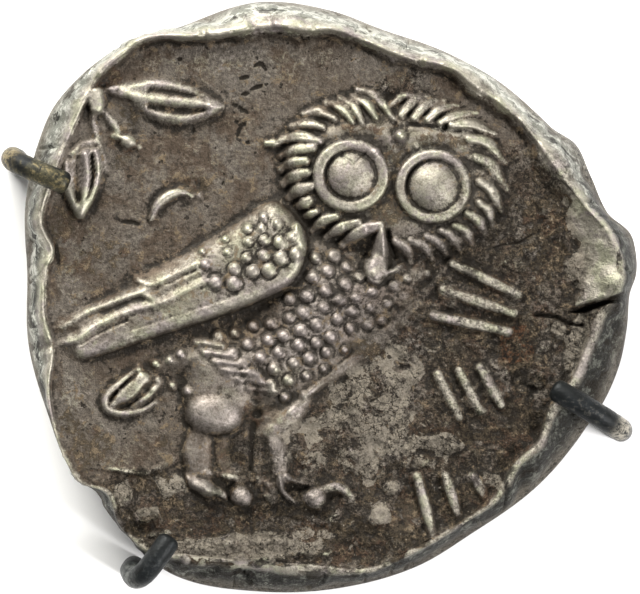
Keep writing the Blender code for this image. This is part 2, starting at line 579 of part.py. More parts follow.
def make_coin(collection, parent):
    shape = bmesh.new()
    coin_face(shape, owl_side)
    coin_face(shape, worn_side)
    bmesh.ops.remove_doubles(shape, verts=shape.verts[:], dist=1e-6)
    bmesh.ops.recalc_face_normals(shape, faces=shape.faces[:])
    mesh = bpy.data.meshes.new("coin_full")
    shape.to_mesh(mesh)
    shape.free()
    coin = bpy.data.objects.new("coin", mesh)
    collection.objects.link(coin)
    coin.parent = parent
    coin.data = thinned(coin, COIN_TRIANGLES)
    coin.data.name = "coin"
    bpy.data.meshes.remove(mesh)
    cut_flat(coin.data, FLAT_Z)
    coin.data.shade_smooth()
    coin.data.set_sharp_from_angle(angle=math.radians(35.0))
    coin.data.materials.append(metal("struck_silver", (0.36, 0.32, 0.27), 0.42, 1.0))


def make_hook(collection, parent, name, route, material):
    """A bent wire, from its tip over the rim to the foot where it would enter the display."""
    points = curve_through(route, steps=WIRE_STEPS)
    curve = bpy.data.curves.new(name, "CURVE")
    curve.dimensions = "3D"
    curve.bevel_depth = WIRE_RADIUS * MM
    curve.bevel_resolution = 2
    curve.use_fill_caps = True
    wire = curve.splines.new("POLY")
    wire.points.add(len(points) - 1)
    for spot, (x, y, z) in zip(wire.points, points * MM):
        spot.co = (x, y, z, 1.0)
    hook = bpy.data.objects.new(name, curve)
    curve.materials.append(material)
    collection.objects.link(hook)
    hook.parent = parent


def main():
    for obj in list(bpy.data.objects):
        bpy.data.objects.remove(obj, do_unlink=True)
    collection = bpy.data.collections.new("tetradrachm_coin")
    bpy.context.scene.collection.children.link(collection)
    plane = bpy.data.objects.new("coin_plane", None)
    plane.location = (PLACE[0] * MM, PLACE[1] * MM, 0.0)
    collection.objects.link(plane)
    make_coin(collection, plane)
    wire = metal("blackened_wire", (0.035, 0.037, 0.04), 0.45, 0.6)
    for name, route in HOOKS.items():
        make_hook(collection, plane, name, route, wire)


main()
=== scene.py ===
"""The looks of an ancient silver coin that lies owl side up under three wire display hooks.

The coin's surface is worked out in millimetres in the coin's own plane, x to the right and y
to the top of the owl, and is written to its mesh in metres in the frame's own place.
"""
import math
from types import SimpleNamespace

import bmesh
import bpy
import numpy as np
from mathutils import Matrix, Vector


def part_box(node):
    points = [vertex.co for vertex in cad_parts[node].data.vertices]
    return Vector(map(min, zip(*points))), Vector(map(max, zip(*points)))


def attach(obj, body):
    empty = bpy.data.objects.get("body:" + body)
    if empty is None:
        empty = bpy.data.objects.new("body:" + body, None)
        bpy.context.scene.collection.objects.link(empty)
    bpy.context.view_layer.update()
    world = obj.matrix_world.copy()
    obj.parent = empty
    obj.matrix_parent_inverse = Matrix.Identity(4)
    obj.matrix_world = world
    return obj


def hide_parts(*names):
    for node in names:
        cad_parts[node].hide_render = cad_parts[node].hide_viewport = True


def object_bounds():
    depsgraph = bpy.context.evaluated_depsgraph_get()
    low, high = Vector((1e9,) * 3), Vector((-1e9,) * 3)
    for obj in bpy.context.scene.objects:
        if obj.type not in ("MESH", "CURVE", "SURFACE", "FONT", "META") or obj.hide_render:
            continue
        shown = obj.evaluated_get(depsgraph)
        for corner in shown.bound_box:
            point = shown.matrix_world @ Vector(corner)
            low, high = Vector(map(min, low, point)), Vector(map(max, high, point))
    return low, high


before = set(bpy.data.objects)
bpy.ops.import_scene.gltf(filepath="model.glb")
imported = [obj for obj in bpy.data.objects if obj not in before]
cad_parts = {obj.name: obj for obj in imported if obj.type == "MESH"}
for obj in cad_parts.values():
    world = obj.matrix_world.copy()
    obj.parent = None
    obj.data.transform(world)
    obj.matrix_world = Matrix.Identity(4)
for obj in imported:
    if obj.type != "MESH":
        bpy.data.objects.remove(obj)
cad_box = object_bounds()

MM = 0.001

# Levels of the coin, from the surface that it lies on.
FIELD_Z = 4
GIRDLE_Z = 2.35
BELLY_Z = 0.42

# The middle that its outlines are measured round.
MIDDLE = (-0.2, 0)

# Squares along a side of the grids for the owl side and the other side, which has a quarter as
# many, and the share of the owl side's rings that lies inside the rim's crest.
OWL_SQUARES = 304
BACK_SQUARES = 76
CREST_SHARE = 0.93


# ---- tables and cross-sections

def table(text, columns=2):
    """Numbers written one after the other, in rows of that many."""
    return np.array(text.replace(",", " ").split(), float).reshape(-1, columns)


def unit(values):
    return np.clip(values, 0, 1)


def wave(t):
    """0 to 1, level at both ends."""
    t = unit(t)
    return t * t * (3 - 2 * t)


def crown(full, sharp):
    """A cross-section from 1 in a shape's middle to 0 at its border."""
    return lambda t: (1 - unit(t) ** full) ** sharp


TOPS = {
    "round": crown(2, 0.5), "soft": crown(2, 1.5), "dome": crown(3, 0.65), "cap": crown(3.6, 0.58),
    "lobe": crown(2.4, 0.8), "roof": lambda t: (1 - unit(t)) * (1 + 0.35 * unit(t)),
    "flat": lambda t: wave((1 - unit(t)) / 0.5),
}


def rows(text):
    """Each line's numbers, the cross-section it names, and its points, which have a comma."""
    for line in text.strip().splitlines():
        words = line.split()
        points = [word for word in words if "," in word]
        names = [word for word in words if word in TOPS]
        numbers = [float(word) for word in words if word not in points + names]
        yield numbers, names[0] if names else "round", table(" ".join(points))


# The coin's widest line, and the crest of the rim that the die left, both anticlockwise.
GIRDLE = table("""
12.47,.9 12.45,1.8 12.2,2.6 11.3,3.4 10.6,4.94 10,6.2 9,6.9 6.6,8.95 4.84,9.9 2.2,10.85 0,11.66 -3,12
-6,11.05 -7.6,10.6 -9,9.95 -11.2,7.9 -11.9,6.4 -12.48,3.7 -12.4,.9 -12.36,-1.9 -11.6,-4.7 -10.5,-7.3
-9.45,-8.1 -9.3,-8.55 -8.4,-9.7 -6.5,-11.35 -3,-12.06 .5,-11.9 3.6,-11 5.9,-9.6 8.7,-7.5 10.4,-5.4
11.2,-4.2 11.8,-2.75 12.1,-1.2 12.2,.05""")
CREST = table("""
11.75,1.2 11.3,2.5 10.3,3.7 9,5.4 7.8,7.05 5.9,8.5 5,9.2 2.9,9.75 1.35,10.4 .1,10.84 -1,10.8 -2.3,10.98
-4.4,10.65 -5.8,10.55 -7.4,10.5 -8.6,9.8 -9.5,8.95 -9.95,8.1 -10.4,7.2 -10.95,5.9 -11.5,4.4 -11.8,3
-11.35,1.9 -11.65,1 -11.7,-.65 -11.35,-2.2 -11.5,-3.9 -10.9,-6.4 -10.2,-7.5 -9,-8.05 -8.6,-9.2
-7.4,-10.35 -5.8,-10.6 -3.2,-10.85 -1,-11 1.6,-11.15 3.4,-10.35 5.4,-9.2 6.6,-8.3 7.5,-6.9 8.5,-5.9
8.9,-4.7 9.9,-3.3 10.45,-2 10.9,-.9 11.55,.1""")
# The rim by compass bearing: degrees from +x, height over the field, width of its inner slope.
RIM = table("""
-12 .7 .6  0 1.1 1.4  6 1.45 2  14 1.45 1.9  22 1.25 1.3  32 1.05 .9  60 1.05 .75  80 1 .7
100 1.05 .7  120 .95 .7  138 .8 .6  150 .6 .6  165 .6 .5  180 .55 .5  200 .5 .45
220 .45 .6  240 .6 .7  260 .55 .8  280 .5 .8  300 .6 .6  320 .8 .5  335 .8 .5""", 3)
# How pale the outer edge is by compass bearing, from 0 for blackened to 1 for bare. It is partly
# real toning and partly painted light and shade: pale on the top, which the key lamp lights, and
# dark on the lower right, which is turned from it.
EDGE_LIGHT_AND_TONES = table("""
-165,.62 -140,.45 -115,.4 -90,.4 -70,.2 -40,0 -5,0 15,.35 32,.75 55,.9 90,.95 125,.9 145,.78
170,.68""")


# ---- shapes of the relief

def blend(low, high, reach=0.15):
    """The higher of two surfaces, with a fillet where they cross."""
    fillet = unit(1 - np.abs(low - high) / reach) ** 2
    return np.maximum(low, high) + reach / 4 * fillet


def between(grid, i, j, p, q):
    """A grid's values at those shares of the way between its cells."""
    size = len(grid)
    near = grid[i % size, j % size] * (1 - p) + grid[(i + 1) % size, j % size] * p
    far = grid[i % size, (j + 1) % size] * (1 - p) + grid[(i + 1) % size, (j + 1) % size] * p
    return near * (1 - q) + far * q


def noise(x, y, cell, seed):
    """Smooth random heights from -1 to 1, with one value to each cell of that width."""
    values = np.random.default_rng(seed).uniform(-1, 1, (64, 64))
    u, v = x / cell, y / cell
    i, j = np.floor(u).astype(int), np.floor(v).astype(int)
    return between(values, i, j, wave(u - i), wave(v - j))


def fractal(x, y, cell, seed, layers=4):
    """Noise with finer and fainter noise on it."""
    total = 0
    for layer in range(layers):
        turned = x * math.cos(layer) - y * math.sin(layer), x * math.sin(layer) + y * math.cos(layer)
        total = total + noise(*turned, cell / 2 ** layer, seed + layer) / 2 ** layer
    return total / 1.4


def curve_through(points, steps=6, closed=False):
    """A smooth line through the points."""
    points = np.asarray(points, float)
    count = len(points)
    if count == 2:
        return points
    order = np.arange(-1, count + 2)
    order = order % count if closed else np.clip(order, 0, count - 1)
    a, b, c, d = (points[order[k:k + count - (not closed)], None] for k in range(4))
    share = np.arange(steps)[:, None] / steps
    line = 0.5 * (2 * b + (c - a) * share + (2 * a - 5 * b + 4 * c - d) * share ** 2
                  + (3 * b - a - 3 * c + d) * share ** 3)
    line = line.reshape(-1, points.shape[1])
    return line if closed else np.vstack([line, points[-1:]])


def nearest(line, x, y):
    """Each point's distance to the line, its share of the way along, and its side of it."""
    steps = np.diff(line, axis=0)
    lengths = np.hypot(steps[:, 0], steps[:, 1])
    starts = np.concatenate([[0], np.cumsum(lengths)])
    best = np.full(x.shape, np.inf)
    along = np.zeros(x.shape)
    side = np.ones(x.shape)
    for (ax, ay), (dx, dy), length, start in zip(line, steps, lengths, starts):
        px, py = x - ax, y - ay
        t = unit((px * dx + py * dy) / length ** 2)
        away = np.hypot(px - t * dx, py - t * dy)
        closer = away < best
        best = np.where(closer, away, best)
        along = np.where(closer, (start + t * length) / starts[-1], along)
        side = np.where(closer, np.sign(dx * py - dy * px), side)
    return best, along, side


def inside(line, x, y):
    """Whether each point is inside the closed line."""
    found = np.zeros(x.shape, bool)
    for (ax, ay), (bx, by) in zip(line, np.roll(line, -1, axis=0)):
        if ay == by:
            continue
        crosses = (ay > y) != (by > y)
        found ^= crosses & (x < ax + (y - ay) * (bx - ax) / (by - ay))
    return found


def around(bearings, values):
    """A smooth closed curve of values by bearing, in radians, as a function."""
    order = np.argsort(bearings)
    bearings, values = bearings[order], values[order]
    turn = 2 * math.pi
    angle = np.concatenate([bearings[-2:] - turn, bearings, bearings[:2] + turn])
    value = np.concatenate([values[-2:], values, values[:2]])
    slope = np.zeros(len(angle))
    slope[1:-1] = (value[2:] - value[:-2]) / (angle[2:] - angle[:-2])

    def at(bearing):
        bearing = (bearing + math.pi) % turn - math.pi
        i = np.clip(np.searchsorted(angle, bearing, side="right") - 1, 1, len(angle) - 3)
        gap = angle[i + 1] - angle[i]
        t = (bearing - angle[i]) / gap
        return ((2 * t ** 3 - 3 * t ** 2 + 1) * value[i]
                + (t ** 3 - 2 * t ** 2 + t) * gap * slope[i]
                + (3 * t ** 2 - 2 * t ** 3) * value[i + 1]
                + (t ** 3 - t ** 2) * gap * slope[i + 1])
    return at


def around_outline(points):
    """The radius of an outline about the coin's middle, by bearing."""
    x, y = (points - MIDDLE).T
    return around(np.arctan2(y, x), np.hypot(x, y))


def around_rim(column):
    """The height or the width of the rim, by bearing."""
    return around(np.radians((RIM[:, 0] + 180) % 360 - 180), RIM[:, column])


def from_middle(bearing, radius):
    """Points by bearing and distance from the coin's middle."""
    return MIDDLE[0] + radius * np.cos(bearing), MIDDLE[1] + radius * np.sin(bearing)


class Layer:
    """Heights at the points x, y. Each ridge keeps the higher of itself and what is there, and
    each groove the deeper."""

    def __init__(self, x, y):
        self.x = x
        self.y = y
        self.z = np.zeros_like(x)

    def near(self, points, reach):
        """The layer's points in a box that reaches this far round the given ones."""
        left, low = np.min(points, axis=0) - reach
        right, high = np.max(points, axis=0) + reach
        within = (self.x > left) & (self.x < right) & (self.y > low) & (self.y < high)
        return np.nonzero(within)[0]

    def keep(self, here, shape):
        """Puts a shape on the layer. A groove also clears older grooves from its box."""
        old = self.z[here]
        self.z[here] = np.where(shape < 0, np.minimum(old, shape), np.maximum(old, shape))

    def stroke(self, points, width, height, top="round", taper=(1, 1), lean=1):
        """A ridge along a line, width to each side, or a groove. taper is the share of the width
        left at the two ends, and lean widens the slope on the left."""
        line = curve_through(points)
        here = self.near(line, width * max(1, lean))
        away, along, side = nearest(line, self.x[here], self.y[here])
        first = taper[0] + (1 - taper[0]) * wave(along / 0.45)
        last = taper[1] + (1 - taper[1]) * wave((1 - along) / 0.45)
        share = np.minimum(first, last)
        half = width * share * np.where(side > 0, lean, 1)
        self.keep(here, height * np.sqrt(share) * TOPS[top](away / half))

    def dot(self, x, y, radius, height, top="round", radius_y=None):
        """A knob, or a pit if its height is negative."""
        radius_y = radius_y or radius
        here = self.near([(x, y)], max(radius, radius_y))
        away = np.hypot((self.x[here] - x) / radius, (self.y[here] - y) / radius_y)
        self.keep(here, height * TOPS.get(top, top)(away))

    def ring(self, x, y, radius_x, radius_y, hole, height):
        """A rounded band between an oval and its hole, hole being a share of the radius."""
        def band(away):
            return crown(5, 0.6)(np.abs(away - (1 + hole) / 2) / ((1 - hole) / 2))

        self.dot(x, y, radius_x, height, band, radius_y)

    def mass(self, outline, height, edge, power):
        """A pillow inside a closed outline, which reaches its height at edge from it."""
        line = curve_through(outline, closed=True)
        here = self.near(line, 0)
        here = here[inside(line, self.x[here], self.y[here])]
        away = nearest(np.vstack([line, line[:1]]), self.x[here], self.y[here])[0]
        rise = (1 - (1 - unit(away / edge)) ** power) ** (1 / power)
        level = height(self.x[here], self.y[here]) if callable(height) else height
        self.keep(here, level * rise)


def draw(text, ridges, grooves=None, lean=1):
    """A stroke or a dot for each row of a text: half width, height, taper and the line's points,
    or radius, height, other radius and the centre. Negative heights go to the grooves."""
    for (width, height, *more), top, points in rows(text):
        layer = ridges if grooves is None or height > 0 else grooves
        if len(points) == 1:
            layer.dot(*points[0], width, height, top, *more)
        else:
            layer.stroke(points, width, height, top, more or (1, 1), lean)


# ---- the owl

HEAD = table("""
-1.1,3 -1.62,3.9 -1.85,5 -1.95,6.05 -1.35,6.95 -.4,7.5 .6,7.95 1.6,8.2 2.6,8 3.7,7.95 4.9,7.65 6,7.2
6.75,6.4 7,5.3 7,4.1 6.65,3.1 5.95,2.3 4.9,1.75 3.6,1.45 2.4,1.4 1,1.95 -.3,2.45""")
BREAST = table("""
-1.2,2.6 .6,2.2 2.4,1.9 4.5,1.35 3.9,0 2.6,-1.5 .6,-3.3 -1.2,-4.6 -2.8,-4.9 -4.6,-3.6 -6.4,-3.3
-7.4,-3.3 -7.2,-2.5 -5.5,-1.5 -3.2,-.6""")
WING = table("""
-.85,1.9 -1.5,.45 -3.2,-.4 -5,-1.05 -7,-1.7 -9,-2.4 -10.3,-2.65 -10.95,-1.8 -10.5,-.7 -8.6,.35
-7.9,.9 -6,1.85 -4,3 -2.7,3.85 -1.9,3.8 -1.2,3""")
BAND = table("""
-1.35,3.1 -.88,1.9 -1.5,.47 -3.2,-.38 -5,-1.03 -7,-1.68 -9,-2.36 -10.2,-2.6 -10.5,-1.9 -9.5,-1.15
-8.3,-.55 -7.2,-.1 -5.9,.35 -4.7,1 -3.4,1.5 -2.1,2.3""")
THIGH = table("""
-5.7,-2.2 -4.2,-1.7 -2.9,-2.5 -2.8,-3.8 -3.3,-5 -4.9,-5.75 -6.1,-4.7 -6,-3.4""")
FAR_THIGH = table("""
-3.2,-4.9 -2.4,-4.2 -1,-3.5 -.4,-3.8 -1,-5 -1.6,-5.9 -2.6,-6.1 -2.9,-5.5""")
TAIL = table("""
-9.28,-4.3 -9.1,-4.7 -8.71,-4.85 -8,-4.8 -7.3,-4.2 -6.9,-3.6 -7.4,-3.1 -7.86,-2.95 -8.6,-3.4 -9.1,-3.9""")
WING_EDGE = table("""
-1.75,3.2 -1.25,2.4 -1.12,1.5 -1.75,.6 -2.9,.12 -4.2,-.38 -6,-1 -7.8,-1.55 -9.2,-2.05 -10.4,-2.55""")
WEB = table("-3.3,-7.35 -2.5,-7.1 -1.85,-7.35 -1.8,-7.9 -2.45,-8.6")
BEAK = table("""
2.04,3 1.68,2.1 1.35,1.45 1.3,.96 1.5,.55 1.83,.42 2.2,.7 2.42,1.3 2.35,2.1""")
# Where the breast shows dots, and the ways down and across their rows.
DOTTED = table("""
-1,2 .4,2 1.3,1.2 2.6,1.1 4,1 3.5,.2 1.6,-1.6 -.2,-3.2 -1.4,-4 -2.6,-4.1 -3.1,-3.4 -3.7,-2.5
-4.6,-2.1 -4.6,-1.4 -3,-.9 -1.9,-.1 -1.1,.6""")
DOWN = np.array([-0.68, -0.73])
ACROSS = np.array([0.74, -0.67])

# The dots on the wing: centre and radius.
WING_DOTS = table("""
-3.4 2.75 .2  -2.75 3.22 .19  -2.15 2.95 .21  -2.83 2.75 .16  -4.3 2.33 .15  -3.35 2.2 .17
-2.7 2.25 .21  -2.05 2.15 .28  -1.62 2.42 .19  -5.23 1.83 .14  -4.2 1.78 .16  -3.43 1.55 .18
-2.73 1.65 .22  -2.03 1.53 .31  -1.42 1.7 .27  -5.1 1.3 .2  -3.91 1.1 .25  -3.17 1 .27
-2.52 1.05 .3  -4.7 .57 .28  -3.93 .5 .3""", 3)
# Feathers of the ruff round the face: half width, and points from one end to the other.
RUFF = """
.17  -2.62,6.2 -2.1,6.2
.24  -1.98,6.34 -1.3,6.48 -.44,6.28
.23  -1.6,6.85 -.95,7.02 -.35,6.86
.23  -1.08,7.36 -.4,7.47 .15,7.2
.22  -.2,7.8 .38,7.66 .85,7.1
.21  .36,8 .88,7.74 1.25,7.05
.21  .86,8.1 1.4,7.84 1.82,7.22
.2  1.08,8.36 1.85,8.08 2.5,7.2
.16  2.46,7.8 2.9,8.1 3.3,8.14
.21  2.86,7.36 3.35,7.94 4,8.08
.21  3.36,7.24 3.9,7.8 4.62,7.9
.2  3.92,7.16 4.4,7.6 5.14,7.74
.2  4.46,7.04 5.1,7.38 5.94,7.42
.22  4.9,6.93 5.8,6.98 6.64,6.58
.24  5.58,6.38 6.4,6.2 7.04,5.4
.24  5.88,5.6 6.55,5.3 7.12,4.32
.24  6.03,4.62 6.55,4.26 6.92,3.45
.22  6.03,3.78 6.42,3.42 6.56,2.88
.21  5.53,3.34 6,3.05 6.26,2.56
.2  5.03,2.84 5.5,2.6 5.72,2.1
.2  4.48,2.64 4.95,2.36 5.22,1.88
.2  3.88,2.4 4.35,2.16 4.66,1.7
.2  3.23,2.22 3.75,2 4.1,1.52
.21  2.58,2.2 3.05,1.9 3.24,1.4
.28  1.98,2.84 1.2,2.62 .46,2.08
.23  1.1,2.97 .45,2.78 -.2,2.38
.21  .2,3.22 -.3,3.05 -.8,2.64
.17  -.6,3.42 -1.08,3.22
.27  -.9,3.88 -1.28,3.64
.28  -.86,4.44 -1.3,4.32 -1.72,3.98
.28  -1,5 -1.5,4.86 -1.94,4.54
.26  -1.05,5.47 -1.6,5.38 -2.02,5.12
.24  -.74,6.02 -1.4,5.94 -2.02,5.68
"""

# The other figures, in rows as draw() reads them.
LEGS = """
.68 .46 .9 .9 dome  -5.15,-5.2 -5.4,-6.3 -5.35,-7.2 -5.3,-7.9
.6 .3 soft  -4.3,-5.4 -4.5,-6.2 -4.1,-7.2
.9 .34 soft  -1.9,-5.2 -2.15,-6.1 -2.1,-7.3
.6 .22 soft  -2.9,-5.4 -3.05,-6.4 -2.9,-7.3
"""
FAR_LEG = """
.55 .5 .4 .9 lobe  -.8,-3.85 -1.6,-4.85 -2.45,-5.5
.3 .6 .7 .7 lobe  -1.35,-4.45 -1.85,-4.95
.46 .52 .8 1 dome  -2.4,-5.5 -2.15,-6.3 -2.05,-6.8 -2.05,-7.4
"""
FACE = """
1.04 .5 1  .84,4.88
.26 .42  1.79,5.79
1.09 .6  4.17,4.42
.26 .42  2.81,6.5
.1 .14  3.42,6.08
.3 .06 soft  0,6.62 1.2,6.8 2.1,6.6 2.55,6
.3 .05 soft  3.1,6.2 4.3,6.4 5.4,5.95
.14 .62 .5 1 roof  2.1,2.7 2.12,1.9 2.16,1.4 2.2,.85
.12 .42 1 .5  2.25,.95 2.6,1.05 2.87,1.3
.06 -.08  .4,5.72 .95,5.3
.06 -.08  1.42,5.82 1.02,5.42
.19 -.2 .13  1.47,1.61
.09 -.26  2.3,2.6 2.5,1.85 2.62,1.55
.08 -.14  3.1,6.95 3.9,6.9 4.6,6.78 5.2,6.7
.16 -.22  4.6,6.85
.08 -.1  2.45,7.2 2.66,6.85
"""
QUILLS = """
.3 .12 roof  -5.35,1.3 -6.3,.88 -7.3,.42 -7.9,.68
.3 .14 roof  -5,.6 -5.9,.16 -6.95,-.3 -7.35,-.1 -7.78,.16
.32 .16 roof  -7.6,.16 -8.76,-.23 -9.98,-.72 -10.9,-1.3
.3 .15 roof  -7.1,-.35 -8.35,-.72 -9.57,-1.28 -10.3,-1.8 -10.95,-1.98
"""
WING_LINES = """
.08 -.07  -7.5,-.08 -8.7,-.46 -9.7,-.95 -10.6,-1.5
.08 -.08 .6 .5  -7.6,-.76 -8.3,-1 -9.4,-1.5 -10.2,-2
.07 -.04  -5.4,1.08 -6.3,.66 -7.3,.2
.07 -.05  -5.1,.4 -5.9,-.04 -6.9,-.48
.22 -.2 .11  -8.12,-.98
"""
FLANK = """
.2 .2 dome  -7.12,-2.73
.18 .2 dome  -6.55,-2.57
.22 .2 dome  -6.1,-2.32
.22 .2 dome  -5.9,-3.85
.2 .2 dome  -6.4,-3.66
.17 .2 dome  -7,-3.4
.5 .06 .7 .6 flat  -5.2,-2 -4.35,-2.6 -3.5,-3.4 -2.95,-4
.3 .26 .8 .8 dome  -3.45,-3.05 -2.95,-3.45
.28 -.4 .22 soft  -3,-4.8
.24 -.22 soft  -3.15,-5.2 -3.25,-6.1
.1 -.22  -3.23,-5.95 -3.25,-7.05
.25 -.08 soft  -6.2,-3.3 -6,-4.3 -5.7,-5.2
"""
FEET = """
.16 .2 .6 .6 dome  -4.93,-7.15 -4,-7.36 -3.2,-7.45
.38 .46 .8 .6 lobe  -5.5,-7.62 -4.95,-7.85 -4.35,-8.1
.52 .58 lobe  -3.61,-8.16
.13 .4 1 .4  -2.05,-7.35 -1.97,-7.88 -1.4,-8.45
.13 .24 1 .6  -1.8,-7.3 -1.4,-7.52 -.83,-7.6
.56 .58 .5 lobe  -.64,-8.2
.24 .36 1 .3  -.4,-7.9 .23,-7.75 .67,-7.97 1,-8.42
.5 .24 flat  1.98,-8.9
.42 .14 flat  2.5,-7.74
.2 -.14 soft  -5.6,-8.15 -4.7,-8.6 -3.8,-8.85 -2.9,-8.65
.08 -.14  -4.2,-7.75 -4.15,-8.2 -4.1,-8.6
.17 -.2 soft  -1.75,-7.75 -1.3,-7.85 -1,-7.8
.16 -.12 soft  -1.1,-8.75 -.4,-8.85 .3,-8.4
"""
TAIL_FEATHERS = """
.17 .25 .8 .5  -7.75,-2.95 -8.35,-3.35 -8.98,-3.9 -9.2,-4.32 -9.02,-4.66 -8.4,-4.8 -7.7,-4.66 -7.1,-4.3
.34 .24 .9 .4 dome  -7.6,-3.3 -8.05,-3.75 -8.55,-4.15 -8.85,-4.42
.13 .2 .6 .5  -6.9,-3.5 -7.4,-4 -8.1,-4.5
.09 -.15  -8.98,-4.14 -7.95,-3.12
.16 -.12 soft  -8.5,-4.5 -8,-4.35 -7.4,-3.9
"""


def wing_height(x, y):
    """The wing sinks from the shoulder to the tip."""
    along = unit((-1.5 - x + 0.37 * (1.5 - y)) / 10.2)
    return 0.95 - 0.53 * along


def owl_forms(x, y):
    """The broad forms of the owl, over the field."""
    legs, far, web, knee = (Layer(x, y) for _ in range(4))
    draw(LEGS, legs)
    draw(FAR_LEG, far)
    web.mass(WEB, 0.4, 0.5, 1.4)
    knee.dot(-4.72, -4.75, 1.34, 0.86, "dome", 1.02)
    forms = legs.z
    for shape in (far.z, web.z):
        forms = blend(forms, shape, 0.2)
    for outline, height, edge, power in (
            (BREAST, 0.8, 2.3, 1.3), (THIGH, 0.66, 1.3, 1.6), (FAR_THIGH, 0.42, 0.9, 1.5),
            (TAIL, 0.24, 0.3, 1.8), (WING, wing_height, 1.15, 1.7),
            (BAND, lambda *at: wing_height(*at) + 0.05, 0.45, 2), (HEAD, 0.66, 1.5, 1.6)):
        one = Layer(x, y)
        one.mass(outline, height, edge, power)
        forms = blend(forms, one.z)
    return blend(forms, knee.z, 0.12)


def face(layer, cuts):
    """Eyes, brow and beak, and the ruff of feathers round the face."""
    for (half,), _, points in rows(RUFF):
        cuts.stroke(points, half + 0.1, -0.05, "soft", (0.75, 0.6))
        layer.stroke(points, 1.12 * half, 0.33, "dome", (0.75, 0.6))
    layer.ring(0.8, 4.88, 1.58, 1.5, 0.66, 0.28)
    layer.ring(4.13, 4.45, 1.55, 1.52, 0.7, 0.3)
    layer.mass(BEAK, 0.5, 0.42, 1.7)
    draw(FACE, layer, cuts)


def wing(layer, cuts):
    """The smooth band round the shoulder and along the lower edge, the quills and the dots."""
    layer.stroke(WING_EDGE, 0.72, 0.05, "soft", (0.5, 0.4))
    draw(QUILLS, layer, lean=0.4)
    for up in (0.24, 0.42, 0.6):
        cuts.stroke([(-5.2, 1.45 + up), (-6.6, 0.85 + up), (-7.6, 0.5 + up)], 0.05, -0.05)
        cuts.stroke([(-8.2, 0.1 + up), (-9.3, -0.3 + up), (-10.2, -0.8 + up)], 0.05, -0.04)
    draw(WING_LINES, cuts)
    for up in (-0.3, -0.12, 0.1):
        cuts.stroke([(-3.4, 0.1 + up), (-5.6, -0.66 + up), (-8.2, -1.5 + up)], 0.05, -0.035)
    for x, y, radius in WING_DOTS:
        cuts.ring(x, y, radius + 0.11, radius + 0.11, radius / (radius + 0.11), -0.06)
        layer.dot(x, y, radius + 0.02, 0.45 * radius + 0.08, "dome")


def breast(layer, cuts):
    """Staggered rows of dots across the breast, smaller towards its right edge."""
    patch = curve_through(DOTTED, closed=True)
    draw("0.36 0.2 0.5 0.4 lobe  -1.1,-4 -0.33,-3.56 1.7,-2.1 3.15,-0.65 4.24,0.65 4.7,1.2", layer)
    random = np.random.default_rng(5)
    for row in range(-6, 12):
        for place in range(-3, 12):
            spot = np.array([-0.6, 1.5]) + 0.63 * row * DOWN
            spot = spot + (0.74 * place + 0.37 * (row % 2)) * ACROSS + random.uniform(-0.09, 0.09, 2)
            if inside(patch, spot[:1], spot[1:])[0]:
                radius = 0.25 - 0.12 * min(max(spot @ ACROSS / 3.4, 0), 1) ** 1.3
                radius = radius * random.uniform(0.85, 1.12)
                cuts.ring(*spot, radius + 0.12, radius + 0.12, radius / (radius + 0.12), -0.05)
                width, height = radius * random.uniform(0.95, 1.15), 0.6 * radius + 0.04
                layer.dot(*spot, width, height, "dome", radius * random.uniform(0.9, 1.1))


def flank(layer, cuts):
    """Small worn feathers between the wing, the thigh and the tail, and over the thigh."""
    random = np.random.default_rng(11)
    for share in np.linspace(0, 1, 6):
        x, y = (-4.95 + 2.1 * share, -1.95 - 1.85 * share) + random.uniform(-0.04, 0.04, 2)
        reach = random.uniform(0.42, 0.54)
        layer.stroke([(x - reach, y + 0.1), (x + reach, y - 0.09)], 0.25, 0.17, "dome", (0.8, 1))
        cuts.stroke([(x + 0.21 - reach, y - 0.085), (x + 0.21 + reach, y - 0.275)], 0.1, -0.09)
    draw(FLANK, layer, cuts)


# ---- what is round the owl

LEVEL_LEAF = table("""
-9.3,8.42 -8.4,8.6 -7.17,8.85 -6.03,8.68 -5.1,8.25 -4.3,7.75 -4.6,7.35 -5.5,7.05 -6.4,6.95 -7.2,7.15
-8,7.7""")
HANGING_LEAF = table("""
-10,6.1 -10.75,5.6 -10.85,4.1 -10.2,3.1 -9.6,3.9 -9.3,5.2 -9.45,6""")
SPRIG = """
.24 .11 lobe  -8.9,8.42 -8.37,8.55 -7.1,8.68 -6,8.48 -5.1,8.18 -4.5,7.8
.21 .14 lobe  -9,8.3 -7.74,8.03 -6.4,7.9 -4.6,7.68
.26 .11 lobe  -8.6,8.1 -7.9,7.7 -6.9,7.2 -5.66,7.1 -4.75,7.5
.12 .07 soft  -5.2,8.75 -4.55,8.25 -4.2,7.8 -4.25,7.4
.22 .2 .13  -4.9,7.72
.17 .2  -10.8,5.5 -10.7,4.4 -10.25,3.3
.15 .24  -9.95,5.8 -9.86,4.8 -10,3.9 -10.15,3.25
.16 .26  -9.5,5.87 -9.4,4.9 -9.68,4.06 -10.1,3.25
.2 .22 soft  -10.7,5.75 -10.1,6.15 -9.5,6.25
.17 .2 soft  -9.7,7.5 -9.5,6.5 -9.2,5.6 -9.15,5.1
.2 .24 .7 .8  -9.15,7.4 -8.8,6.95 -8.6,6.5
.16 .26  -8.85,6.5 -8.4,6.4
.36 .34 .3 dome  -8.22,6.28
.18 .14  -7.8,6.05
.12 -.14  -8.7,8.3 -7.4,8.36 -6.2,8.24 -5.2,7.98
.13 -.16  -8.3,7.98 -7.2,7.66 -6,7.48 -5.2,7.56
.1 -.18  -10.3,5.6 -10.32,4.6 -10.25,3.9
.1 -.2  -9.7,5.7 -9.66,4.8 -9.85,4
.45 -.11 soft  -9.05,8.15 -8.5,7.7 -8.1,7.1 -7.9,6.7
.36 -.09 soft  -9,6.6 -8.75,5.9 -8.7,5.3
"""
